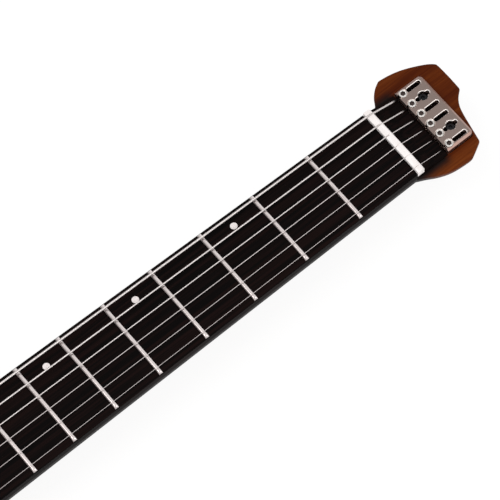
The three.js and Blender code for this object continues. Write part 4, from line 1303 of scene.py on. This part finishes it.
@dataclass
class Strings(Assembly):
    """Six strings: three wound and three plain, each with a brass ball and its twisted wrap."""

    sides: int = 12
    ball_x: float = -19.8
    ball_z: float = 51
    ball_radius: float = 1.5
    entry_z: float = 47.3
    bend: float = 1.6
    wrap: float = 0.2
    tail: Flat = (675.2, 45.9)
    wound: int = 3

    def eased(self, path: Sequence[Vector], reach: float) -> list[Vector]:
        """Returns a path whose corners are rounded.

        Args:
            path: Its corners.
            reach: How far from each corner the bend starts.

        Returns:
            The points of the rounded path.
        """
        line = [path[0]]
        for before, corner, after in zip(path, path[1:], path[2:]):
            line += bent(before, corner, after, reach)
        return [*line, path[-1]]

    def tube(self, name: str, line: Sequence[Vector], radii: Sequence[float]) -> Piece:
        """Returns a round tube along a line that runs towards +X."""
        rings = []
        for k, middle in enumerate(line):
            ahead = (line[min(k + 1, len(line) - 1)] - line[max(k - 1, 0)]).normalized()
            side = Vector((0, 0, 1)).cross(ahead).normalized()
            up = ahead.cross(side)
            rings.append([tuple(middle + (side * math.cos(a) + up * math.sin(a)) * radii[k])
                          for a in (math.tau * n / self.sides for n in range(self.sides))])
        return loft(name, rings)

    def build(self) -> None:
        """Makes the strings and their ball ends."""
        steps = [(1.2, -1.5), (1.5, -1.2), (1.5, -0.7), (1.15, -0.5), (1.15, 0.5), (1.5, 0.7), (1.5, 1.2), (1.2, 1.5)]
        ball = turned("ball", steps, Axis.ACROSS, sides=28)
        for string in STRINGS:
            radius = LAY.gauges[string] / 2
            saddle_y = LAY.across(string, LAY.saddle_spread)
            nut_y, lock_y = LAY.across(string, LAY.nut_spread), LAY.across(string, LAY.lock_spread)
            corners = [
                Vector((self.ball_x - LAY.gap, saddle_y, self.ball_z)),
                Vector((0, saddle_y, LAY.saddle_contact(string) + radius)),
                Vector((LAY.scale, nut_y, LAY.nut_contact(string) + radius)),
                Vector((LAY.plate_front, lock_y, self.entry_z)),
                Vector((self.tail[0], lock_y, self.tail[1])),
            ]
            line = self.eased(corners, self.bend)
            piece = self.tube(f"string_wire_{string + 1}", line, [radius] * len(line))
            finish = WoundString() if string < self.wound else PlainString()
            self.dress_string(smooth(piece, 60), finish, string)
            wrap_line = [corners[0].lerp(corners[1], t) for t in (0, 0.02, 0.3, 0.34)]
            thick = radius + self.wrap
            wrap = self.tube(f"string_wrap_{string + 1}", wrap_line, [thick, thick, thick, radius])
            self.dress(smooth(wrap, 60), WoundString(), f"tuner_block_{string + 1}")
            end = twin(ball, f"ball_end_{string + 1}", (self.ball_x - self.ball_radius, saddle_y, self.ball_z))
            self.dress(smooth(end), Brass(), f"tuner_block_{string + 1}")
        dropped(ball)

    def dress_string(self, piece: Piece, finish: Finish, string: int) -> None:
        """Gives a string its finish and hides its CAD string; the string, drawn back with its tuner block and held fast
        past its saddle, is left on no body.
        """
        finish.cover(piece)
        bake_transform(piece)
        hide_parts(f"string_{string + 1}")
        log.info("%s blends from its block to the guitar", piece.name)


def socket(name: str, radius: float, low: float, high: float) -> Piece:
    """Makes the thin dark lining of a hexagonal socket, which paints the shade inside it.

    Args:
        name: The piece's name.
        radius: The radius over its corners.
        low: Its floor.
        high: Its rim.

    Returns:
        The lining.
    """
    lining = slab(name, ring_of(radius, 6), low, high)
    return carved(lining, slab("hollow", ring_of(radius - 0.12, 6), low + 0.1, high + 1))


@dataclass
class LockPlate(Assembly):
    """The plate that clamps the strings: entry holes, lock screws, open slots and two fixing screws."""

    low: float = 44
    back: float = 684.2
    half: float = 20.5
    corner: float = 2.2
    bevel: float = 1.1
    front_bevel: float = 0.15
    lip: float = 0.3
    lip_depth: float = 0.38
    skin: float = 1.3
    channel_width: float = 4.4
    screw_x: float = 670.7
    slot_start: float = 673.2
    slot_end: float = 681.7
    slot_width: float = 2.2
    slot_floor: float = 45
    fixing_x: float = 677.7
    screw_bore: float = 2.15
    screw_floor: float = 46.3
    fixing_bore: float = 2.5
    fixing_turn: float = 0.04
    tunnel_z: float = 47.2
    tunnel_half: float = 0.7
    play: float = 0.3
    notch_floor: float = 46.6
    notch_depth: float = 1.65
    fixed: tuple[int, ...] = (1, 4)

    def build(self) -> None:
        """Makes the plate and its screws."""
        steps = rounded_box(LAY.plate_front, self.back, -self.half, self.half, self.corner)
        outline = [point for point in steps if point[0] > self.back - self.corner - SLACK]
        outline += [(LAY.plate_front, self.half), (LAY.plate_front, -self.half)]
        reach = LAY.plate_front + self.front_bevel
        top = [(reach if abs(x - LAY.plate_front - self.bevel) < LAY.gap else x, y)
               for x, y in inset(outline, self.bevel)]
        plate = loft("lock_plate", [[(x, y, self.low) for x, y in outline],
                                    [(x, y, LAY.plate_top - self.bevel) for x, y in outline],
                                    [(x, y, LAY.plate_top) for x, y in top]])
        carved(plate, *self.cutters())
        self.dress(smooth(plate, 30), SatinNickel(), stands_for=["string_lock_plate"])
        self.slot_shade_strips()
        self.lock_screws()
        self.fixing_screws()

    def mouth(self, name: str, outline: Sequence[Flat], floor: float) -> Piece:
        """Returns a cutter from a floor up through the plate's top, which breaks its edge at 45 degrees."""
        lip, top = self.lip, LAY.plate_top
        layers = [(0, floor), (0, top - self.lip_depth), (lip, top), (lip, top + lip)]
        return loft(name, [[(x, y, z) for x, y in inset(outline, -grow)] for grow, z in layers])

    def cutters(self) -> list[Piece]:
        """Returns the cutters for one string after another."""
        front, over = LAY.plate_front, LAY.plate_top + 1
        tools = []
        for string in STRINGS:
            y = LAY.across(string, LAY.lock_spread)
            half = max(LAY.gauges[string] / 2 + self.play, self.tunnel_half)
            tools.append(self.mouth("screw_hole", ring_of(self.screw_bore, 40, self.screw_x, y), self.screw_floor))
            tunnel = ring_of(half, 24, y, self.tunnel_z)
            tools.append(slab("tunnel", tunnel, front - 1, self.slot_start + 1, Axis.FORE))
            notch = rounded_box(y - half, y + half, self.notch_floor, over + 2 * half, half)
            tools.append(slab("notch", notch, front - 1, front + self.notch_depth, Axis.FORE))
            slot_half = self.slot_width / 2
            slot = rounded_box(self.slot_start, self.slot_end, y - slot_half, y + slot_half, slot_half * 0.98)
            tools.append(self.mouth("open_slot", slot, self.slot_floor))
            under = self.channel_width / 2
            room = rounded_box(self.slot_start, self.slot_end + 0.4, y - under, y + under, slot_half)
            tools.append(slab("channel", room, self.slot_floor + 0.05, LAY.plate_top - self.skin))
            if string in self.fixed:
                hole = ring_of(self.fixing_bore, 41, self.fixing_x, y, self.fixing_turn)
                tools.append(self.mouth("fixing_hole", hole, self.slot_floor - 0.05))
        return tools

    def slot_shade_strips(self) -> None:
        """Lays strips in the ebony finish inside the open slots, as painted shade that shows black through them."""
        under = self.channel_width / 2 - LAY.gap
        strips = []
        for _, y in LAY.rows(LAY.lock_spread):
            outline = rounded_box(self.slot_start + LAY.gap, self.slot_end, y - under, y + under, self.slot_width / 2)
            strips.append(slab("strip", outline, self.slot_floor + LAY.gap, self.slot_floor + 2 * LAY.gap))
        # painted shade: dark strips where the slots' floors lie in shade
        self.dress(smooth(gathered("slot_shade_strips", strips)), OiledEbony())

    def lock_screws(self) -> None:
        """Makes one lock screw with its hexagonal socket and the socket's painted shade, and copies them."""
        steps = [(1.8, 47.4), (2.05, 47.6), (2.05, 49.65), (1.85, 49.9), (1.62, 49.9), (1.45, 49.7)]
        screw = turned("lock_screw", steps)
        keyed(screw, 1.4, 48.7, 51)
        shade_lining = socket("lock_socket", 1.39, 48.7, 49.68)
        for number, y in LAY.rows(LAY.lock_spread):
            name, place = f"lock_screw_{number}", (self.screw_x, y, 0)
            self.dress(smooth(twin(screw, f"{name}_turned", place)), PolishedSteel(), name, [name])
            # a dark lining paints the shade inside each socket
            self.dress(smooth(twin(shade_lining, f"{name}_socket", place)), SocketShade(), name)
        dropped(screw, shade_lining)

    def fixing_screws(self) -> None:
        """Makes the two dark screws that hold the plate."""
        screw = turned("fixing_screw", [(1.1, 37.3), (1.3, 37.6), (1.3, 45.3), (2.3, 45.3), (2.3, 46.8), (2.05, 47.1)])
        keyed(screw, 1.15, 46, 48)
        for k, string in enumerate(self.fixed):
            place = (self.fixing_x, LAY.across(string, LAY.lock_spread), 0)
            piece = smooth(twin(screw, f"fixing_screw_{k + 1}", place))
            self.dress(piece, BlackPlating(), stands_for=[f"headpiece_screw_{k + 1}"])
        dropped(screw)


def cross_screw(name: str, radius: float, height: float) -> Piece:
    """Makes a domed screw head with a cross recess, standing on the origin.

    Args:
        name: The piece's name.
        radius: The head's radius.
        height: The head's height.

    Returns:
        The head.
    """
    dome = [(radius * math.cos(a), height * (0.25 + 0.75 * math.sin(a))) for a in (0.0, 0.35, 0.7, 1.0, 1.25)]
    head = turned(name, [(radius, 0), *dome], sides=32)
    arm, wide = radius * 0.6, radius * 0.14
    for x, y in ((arm, wide), (wide, arm)):
        carved(head, block("recess", (-x, -y, height * 0.35), (x, y, height * 2)))
    return head


@dataclass
class Pickups(Assembly):
    """Two covered double-coil pickups with screw poles, slug poles and mounting screws."""

    half_x: float = 18
    half_y: float = 35
    low: float = 28
    top: float = 49
    pole: float = 2.3
    row: float = 9
    screw_y: float = 31.8

    def build(self) -> None:
        """Makes both pickups."""
        slug = turned("slug", [(self.pole, -1), (self.pole, 0.3), (self.pole - 0.2, 0.5)])
        screw = twin(slug, "pole_screw")
        carved(screw, block("slot", (-0.35, -3, 0.05), (0.35, 3, 1)))
        mount = cross_screw("mount_screw", 1.5, 0.45)
        for name, x in LAY.pickups:
            outline = rounded_box(x - self.half_x, x + self.half_x, -self.half_y, self.half_y, 3)
            cover = rounded(slab(f"{name}_cover", outline, self.low, self.top), 1.4, 5, 60)
            carved(cover, block("seam", (x - 0.2, -29, self.top - 0.35), (x + 0.2, 29, self.top + 1)))
            self.dress(smooth(cover, 35), MouldedPlastic(), stands_for=[name])
            spread = LAY.saddle_spread + (LAY.nut_spread - LAY.saddle_spread) * x / LAY.scale
            outer = 1 if name == "neck_pickup" else -1
            for kind, pattern, side in (("screws", screw, outer), ("slugs", slug, -outer)):
                row = [twin(pattern, "pole", (x + side * self.row, y, self.top)) for _, y in LAY.rows(spread)]
                self.dress(smooth(gathered(f"{name}_{kind}", row)), PolishedSteel())
            pair = [twin(mount, "mount", (x, side * self.screw_y, self.top)) for side in (-1, 1)]
            self.dress(smooth(gathered(f"{name}_mounts", pair)), BlackPlating())
        dropped(slug, screw, mount)


@dataclass
class Bridge(Assembly):
    """Plate with a rear wall, six saddles, six tuner blocks and their knurled thumb screws."""

    front: float = 14
    wall: Flat = (-46, -40)
    half: float = 38
    top: float = 44.5
    wall_half: float = 33
    wall_top: float = 53
    stud_x: float = 8
    screw: Flat = (-12, 34.4)
    flutes: int = 36

    def build(self) -> None:
        """Makes the plate and everything on it."""
        self.plate()
        self.saddles()
        self.blocks()
        self.thumb_screws()

    def plate(self) -> None:
        """Makes the plate, its wall and its screws."""
        back, face = self.wall
        plate = slab("bridge_base", rounded_box(back, self.front, -self.half, self.half, 3), LAY.face, self.top)
        wall = slab("wall", [(back, LAY.face), (face, LAY.face), (face, self.wall_top), (back, self.wall_top)],
                    -self.wall_half, self.wall_half, Axis.ACROSS)
        carved(plate, wall, how="UNION")
        rounded(plate, 0.6, 3, 60)
        for _, y in LAY.rows(LAY.saddle_spread):
            carved(plate, bar("rod_hole", 1.6, back - 1, face + 1, Axis.FORE, (0, y, LAY.rod_z), 32))
        x, y = self.screw
        carved(plate, *[bar("screw_hole", 1.9, 41, 46, place=(x, side * y, 0)) for side in (-1, 1)])
        self.dress(smooth(plate, 35), BlackPlating(), stands_for=["bridge_plate"])
        head = cross_screw("wood_screw", 3, 1.5)
        carved(head, turned("shank", [(0.2, -22), (1.6, -19), (1.6, 0.2)], sides=24), how="UNION")
        for k, side in enumerate((1, -1)):
            piece = smooth(twin(head, f"bridge_wood_screw_{k + 1}", (x, side * y, LAY.plate_z)))
            self.dress(piece, BlackPlating(), stands_for=[f"bridge_screw_{k + 1}"])
        stud = turned("clamp", [(1.2, 43), (1.2, 47.6), (2.2, 47.6), (2.2, 48.6), (2.0, 48.8)], sides=36)
        keyed(stud, 1, 48, 50)
        for number, y in LAY.rows(LAY.saddle_spread):
            clamp = twin(stud, f"saddle_clamp_{number}", (self.stud_x, y, 0))
            self.dress(smooth(clamp), PolishedSteel(slot="black_metal"))
        dropped(head, stud)

    def saddles(self) -> None:
        """Makes a saddle for each string, with a round-nosed crest, a groove and two height screws."""
        grub = turned("grub", [(1.0, -2), (1.0, 0.35), (0.85, 0.5)], sides=28)
        keyed(grub, 0.55, -0.2, 1)
        for string in STRINGS:
            y = LAY.across(string, LAY.saddle_spread)
            contact = LAY.saddle_contact(string)
            crest = contact + LAY.gauges[string] * 0.3
            shape = [(-7, LAY.plate_z), (13, LAY.plate_z), (13, 47.3), (3.2, 47.3), (3.0, crest - 2.4),
                     (2.2, crest - 0.9), (0.9, crest - 0.12), (0, crest), (-1.2, crest - 0.2), (-7, crest - 2.9)]
            saddle = slab(f"saddle_body_{string + 1}", shape, -4.75, 4.75, Axis.ACROSS)
            rounded(saddle, 0.35, 3, 50)
            radius = LAY.gauges[string] / 2
            groove = slab("groove", ring_of(radius + 0.02, 24, 0, contact + radius), -8, 4, Axis.FORE)
            carved(saddle, groove, slab("track", rounded_box(4.5, 11.5, -1.5, 1.5, 1.45), 44, 48))
            moved(saddle, place=(0, y, 0))
            name = f"saddle_{string + 1}"
            self.dress(smooth(saddle, 35), SatinNickel(), name, [name])
            lean = crest - 0.2 - 2.7 * 3.6 / 5.8  # where the saddle's back falls from -0.2 to -2.9 in 5.8 mm
            pair = [twin(grub, "grub", (-4.8, y + side * 3, lean)) for side in (-1, 1)]
            self.dress(smooth(gathered(f"{name}_grubs", pair)), PolishedSteel(), name)
        dropped(grub)

    def blocks(self) -> None:
        """Makes a tuner block with its pocket for the ball, and copies it."""
        pattern = rounded(block("tuner_block", (-31, -4.5, LAY.plate_z), (-18, 4.5, 53)), 0.9, 4, 60)
        carved(pattern, bar("bore", 1.6, -32, -17, Axis.FORE, (0, 0, LAY.rod_z), 32),
               slab("pocket", rounded_box(-23.5, -19.5, -1.8, 1.8, 0.6), 49.2, 54),
               block("throat", (-20.5, -1, 49.2), (-17, 1, 54)))
        for number, y in LAY.rows(LAY.saddle_spread):
            name = f"tuner_block_{number}"
            self.dress(smooth(twin(pattern, f"{name}_milled", (0, y, 0)), 35), SatinNickel(), name, [name])
        dropped(pattern)

    def thumb_screws(self) -> None:
        """Makes a fluted thumb screw and its threaded rod, and copies them."""
        steps = [(3.0, -62.2), (4.0, -62.2), (4.75, -61.5), (4.75, -56.6), (4.3, -56.2), (4.3, -55.0), (4.75, -54.6),
                 (4.75, -48.9), (4.0, -48.2), (3.4, -48.2), (3.4, -46.6)]
        grip = fluted(turned("grip", steps, sides=self.flutes * 2), self.flutes, (-62, -48), (4.6, 4.9), 4.35 / 4.75)
        keyed(grip, 1.6, -63, -59)
        moved(grip, Axis.FORE)
        rod = turned("rod", [(1.3, -49), (1.3, -22.3), (1.0, -22)], Axis.FORE, sides=24)
        for number, y in LAY.rows(LAY.saddle_spread):
            name, place = f"tuner_knob_{number}", (0, y, LAY.rod_z)
            self.dress(smooth(twin(grip, f"{name}_grip", place), 25), BlackPlating(), name, [name])
            self.dress(smooth(twin(rod, f"{name}_rod", place)), CutThread(), name)
        dropped(grip, rod)


@dataclass
class Controls(Assembly):
    """Volume and tone knobs, and the selector switch with its lever."""

    flutes: int = 60
    nut_flutes: int = 30
    lever_z: float = 40

    def build(self) -> None:
        """Makes the knobs and the switch."""
        steps = [(7.0, 46.1), (7.0, 42.5), (9.2, 42.5), (9.5, 42.8), (9.5, 44.6), (9.2, 44.9), (9.2, 45.6), (9.4, 45.9),
                 (8.95, 55.3), (8.7, 56.3), (8.0, 57.0), (6.4, 57.35), (3.5, 57.5)]
        knob = fluted(turned("knob", steps, sides=self.flutes * 2), self.flutes, (45.8, 55.4), (8, 10), 0.97)
        line = slab("pointer", rounded_box(2.5, 7.9, -0.5, 0.5, 0.45), 55, 57.49)
        grub = slab("knob_grub", ring_of(1.2, 24, 0, 50.5), 8, 9.3, Axis.FORE)
        for name, x, y in LAY.pots:
            body = f"{name}_knob"
            self.dress(smooth(twin(knob, f"{body}_turned", (x, y, 0)), 22), BlackPlating(), body, [body])
            self.dress(smooth(twin(line, f"{body}_pointer", (x, y, 0))), PolishedBone(), body)
            self.dress(smooth(twin(grub, f"{body}_grub", (x, y, 0))), PolishedSteel(), body)
        dropped(knob, line, grub)
        self.switch()

    def switch(self) -> None:
        """Makes the switch's washer, nut and bush, and its lever."""
        x, y = LAY.selector
        steps = [(6.8, 20), (7.0, 20.2), (7.0, 35.7), (5.8, 35.7), (5.8, 42.3), (7.0, 42.3), (7.0, 42.9), (6.8, 43.1),
                 (6.3, 43.1), (6.3, 44.2), (6.0, 44.6), (3.5, 44.6), (3.5, 34)]
        bush = turned("selector_nut", steps, sides=self.nut_flutes * 2)
        moved(fluted(bush, self.nut_flutes, (43.05, 44.5), (6.2, 6.5), 0.95), place=(x, y, 0))
        self.dress(smooth(bush, 25), PolishedSteel(), stands_for=["selector_switch"])
        arm = [(0.9, -3.1), (2.2, -2.3), (3.0, -1.1), (3.2, 0), (3.0, 1.1), (2.2, 2.3), (1.4, 3.0), (1.4, 12.5)]
        lever = turned("lever_arm", arm, place=(x, y, self.lever_z), sides=32)
        self.dress(smooth(lever, 40), PolishedSteel(), "selector_lever", ["selector_lever"])
        cap = [(1.8, 11.5), (2.3, 11.8), (3.0, 14.2), (3.1, 15.4), (2.9, 17.2), (2.4, 18.3), (1.5, 18.9), (0.6, 19.0)]
        tip = turned("lever_tip", cap, place=(x, y, self.lever_z), sides=32)
        self.dress(smooth(tip, 50), MouldedPlastic(), "selector_lever")


@dataclass
class Hardware(Assembly):
    """Jack, strap buttons, neck plate with its bolts, cavity cover and truss wheel."""

    jack_x: float = -103.6
    straps: tuple[tuple[str, Axis, Point], ...] = (
        ("horn", Axis.FORE, (298.252, 103, 21)), ("tail", Axis.BACK, (-104.3, 85, 21))
    )
    bolts: tuple[Flat, ...] = ((167.5, -15.5), (167.5, 15.5), (200.5, -15.5), (200.5, 15.5))
    cover_screws: tuple[Flat, ...] = (
        (-69.6, -113.6), (-69.6, -70.4), (39.6, -113.6), (39.6, -70.4), (-15, -117.7), (-15, -66.3)
    )

    def build(self) -> None:
        """Makes each of them."""
        self.jack()
        self.strap_buttons()
        self.neck_plate()
        self.cover()
        self.truss_wheel()

    def jack(self) -> None:
        """Makes the jack's washer, hexagonal nut and sleeve."""
        steps = [(6.0, 31.0), (6.0, 2.6), (8.7, 2.6), (9.0, 2.3), (9.0, 1.4), (8.7, 1.1), (4.6, 1.1), (4.6, 0.2),
                 (4.4, 0.0), (3.5, 0.0), (3.3, 0.2), (3.3, 27.0)]
        sleeve = turned("jack_sleeve", steps, Axis.FORE, (self.jack_x, *LAY.jack))
        self.dress(smooth(sleeve), PolishedSteel(), stands_for=["output_jack"])
        nut = rounded(slab("jack_nut", ring_of(6.9, 6, turn=0.3), 0.1, 1.1), 0.2, 2, 50)
        carved(nut, bar("bore", 4.65, -1, 3))
        moved(nut, Axis.FORE, (self.jack_x, *LAY.jack))
        self.dress(smooth(nut), PolishedSteel())

    def strap_buttons(self) -> None:
        """Makes a strap button and its screw, and copies them."""
        steps = [(1.7, -20), (1.7, 0), (5.5, 0), (5.5, 0.7), (4.6, 2.2), (3.9, 4.0), (3.6, 5.6), (3.6, 8.0), (4.2, 9.6),
                 (5.6, 10.9), (7.1, 11.5), (7.5, 11.9), (7.5, 13.3), (7.2, 13.8), (6.6, 14.0), (4.0, 14.0), (3.2, 13.2)]
        for name, axis, place in self.straps:
            node_name = f"strap_button_{name}"
            button = turned(f"{node_name}_turned", steps, axis, place)
            self.dress(smooth(button, 35), BlackPlating(), stands_for=[node_name])
            screw = moved(cross_screw(f"{node_name}_screw", 2.9, 0.9), place=(0, 0, 13.1))
            self.dress(smooth(moved(screw, axis, place)), PolishedSteel())

    def neck_plate(self) -> None:
        """Makes the neck plate, with its bolts in countersunk seats."""
        outline = rounded_box(161, 207, -22, 22, 3)
        plate = rounded(slab("back_plate", outline, 0.3, 3.3), 0.5, 3, 60)
        bolt = turned("neck_bolt", [(3.7, 0.4), (4.0, 0.7), (4.0, 1.6), (2.2, 1.6), (2.2, 40.3), (2.0, 40.5)], sides=40)
        keyed(bolt, 1.5, 0, 1.3)
        seat = [(4.7, -1), (4.7, 0.3), (4.3, 0.7), (4.3, 1.9), (2.5, 1.9), (2.5, 5)]
        for k, (x, y) in enumerate(self.bolts):
            carved(plate, turned("seat", seat, place=(x, y, 0), sides=40))
            name = f"neck_bolt_{k + 1}"
            self.dress(smooth(twin(bolt, f"{name}_turned", (x, y, 0))), PolishedSteel(slot="black_metal"),
                       stands_for=[name])
        self.dress(smooth(plate), BlackPlating(), stands_for=["neck_plate"])
        dropped(bolt)

    def cover(self) -> None:
        """Makes the cavity cover and its six screws."""
        outline = rounded_box(-75.7, 45.7, -119.7, -64.3, 15.7, 12)
        cover = rounded(slab("cavity_cover", outline, 0.3, 2.7), 0.4, 2, 60)
        head = cross_screw("cover_screw", 1.6, 0.5)
        moved(head, Axis.DOWN, (0, 0, 0.85))
        for k, (x, y) in enumerate(self.cover_screws):
            carved(cover, turned("seat", [(2.2, -1), (2.2, 0.4), (1.8, 0.9)], place=(x, y, 0), sides=32))
            self.dress(smooth(twin(head, f"cover_screw_{k + 1}", (x, y, 0))), BlackPlating())
        self.dress(smooth(cover), MouldedPlastic(), stands_for=["control_cover"])
        dropped(head)

    def truss_wheel(self) -> None:
        """Makes the spoke wheel at the body end of the board."""
        wheel = turned("spoke_wheel", [(5.0, -3), (5.5, -2.6), (5.5, 2.6), (5.0, 3)], Axis.FORE)
        for axis in (Axis.UP, Axis.ACROSS):
            carved(wheel, bar("spoke_hole", 0.9, -7, 7, axis, sides=20))
        moved(wheel, place=(152.1, 0, 41.3))
        self.dress(smooth(wheel), PolishedSteel(), "truss_rod_wheel", ["truss_rod_wheel"])


@dataclass
class Studio:
    """Camera, lamps, surroundings and floor."""

    camera_place: Point = (100.12, -638.93, 1799.15)
    forward: Point = (0.23932641, 0.33316955, -0.91198735)
    upward: Point = (0.58376304, 0.70118009, 0.40934972)
    lens: float = 284.35
    ambient: float = 0.68
    floor_z: float = -0.2
    paper_glow: float = 0.8
    paper_strength: float = 1.06
    aim: Point = (0.35, 0, 0)
    # Each lamp's place and size in metres, and its power in watts
    lamps: tuple[tuple[Point, float, float], ...] = (
        ((-0.3, 0.1, 2.2), 1.0, 14.0),
        ((-0.9, -0.9, 2.0), 1.2, 9.0),
        ((1.5, -1.3, 1.2), 0.9, 5.5),
        ((1.1, -1.7, 0.6), 0.9, 1.2),
    )

    def camera(self) -> None:
        """Places the camera of the photograph, which looks at the head from over the body."""
        data = bpy.data.cameras.new("photo_view")
        data.lens, data.sensor_width = self.lens, 36
        data.clip_start, data.clip_end = 0.05, 50
        eye = bpy.data.objects.new("photo_view", data)
        forward, up = Vector(self.forward).normalized(), Vector(self.upward).normalized()
        turn = Matrix((forward.cross(up), up, -forward)).transposed().to_4x4()
        eye.matrix_world = Matrix.Translation(metres(*self.camera_place)) @ turn
        bpy.context.collection.objects.link(eye)
        bpy.context.scene.camera = eye

    def lights(self) -> None:
        """Hangs soft square lamps round the guitar."""
        for number, (place, size, power) in enumerate(self.lamps):
            data = bpy.data.lights.new(f"lamp_{number + 1}", "AREA")
            data.size, data.energy = size, power
            lamp = bpy.data.objects.new(data.name, data)
            aim = (Vector(self.aim) - Vector(place)).to_track_quat("-Z", "Y").to_matrix().to_4x4()
            lamp.matrix_world = Matrix.Translation(place) @ aim
            bpy.context.collection.objects.link(lamp)

    def surroundings(self) -> None:
        """Makes the world white where it is seen or mirrored, and dimmer as a light."""
        world = bpy.data.worlds.new("studio")
        bpy.context.scene.world = world
        tree = emptied(world)
        seen = self.seen(tree)
        clear = node(tree, "Math", {0: seen, 1: node(tree, "LightPath").outputs["Is Transmission Ray"]},
                     operation="MAXIMUM")
        level = node(tree, "MapRange", {"Value": clear}, {"To Min": self.ambient, "To Max": 1.0})
        light = node(tree, "Background", {"Strength": level}, {"Color": (1, 1, 1, 1)})
        node(tree, "OutputWorld", {"Surface": light})

    def seen(self, tree: Tree) -> Node:
        """Adds the nodes that say whether a surface is seen or mirrored."""
        path = node(tree, "LightPath").outputs
        return node(tree, "Math", {0: path["Is Camera Ray"], 1: path["Is Glossy Ray"]}, operation="MAXIMUM")

    def floor(self) -> None:
        """Lays a white floor that keeps a faint shadow and can be looked through from below."""
        bpy.ops.mesh.primitive_plane_add(size=14, location=(0.3, 0, self.floor_z * MM))
        floor = named("studio_floor")
        paper = bpy.data.materials.new("MattWhitePaper")
        tree = emptied(paper)
        share = node(tree, "Math", {0: self.seen(tree)}, {1: self.paper_glow}, operation="MULTIPLY")
        matt = node(tree, "BsdfDiffuse", values={"Color": linear("#fcfcfc")})
        white = node(tree, "Emission", values={"Color": (1, 1, 1, 1), "Strength": self.paper_strength})
        mixed = node(tree, "MixShader", {0: share, 1: matt, 2: white})
        behind = node(tree, "NewGeometry").outputs["Backfacing"]
        sided = node(tree, "MixShader", {0: behind, 1: mixed, 2: node(tree, "BsdfTransparent")})
        node(tree, "OutputMaterial", {"Surface": sided})
        floor.data.materials.append(paper)

    def build(self) -> None:
        """Sets up the studio."""
        self.camera()
        self.lights()
        self.surroundings()
        self.floor()
        bpy.context.scene.view_settings.view_transform = "Standard"


def main() -> None:
    """Builds the studio and the guitar."""
    logging.basicConfig(level=logging.INFO, format="%(name)s: %(message)s")
    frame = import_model()
    Studio().build()
    for assembly in (Body(), Neck(), Fingerboard(), Nut(), Strings(), LockPlate(), Pickups(), Bridge(), Controls(),
                     Hardware()):
        assembly.build()
    for name in ("truss_rod", "volume_pot", "tone_pot"):
        PolishedSteel().cover(frame["nodes"][name])
        log.info("%s keeps its CAD shape, inside the wood", name)


if __name__ == "__main__":
    main()
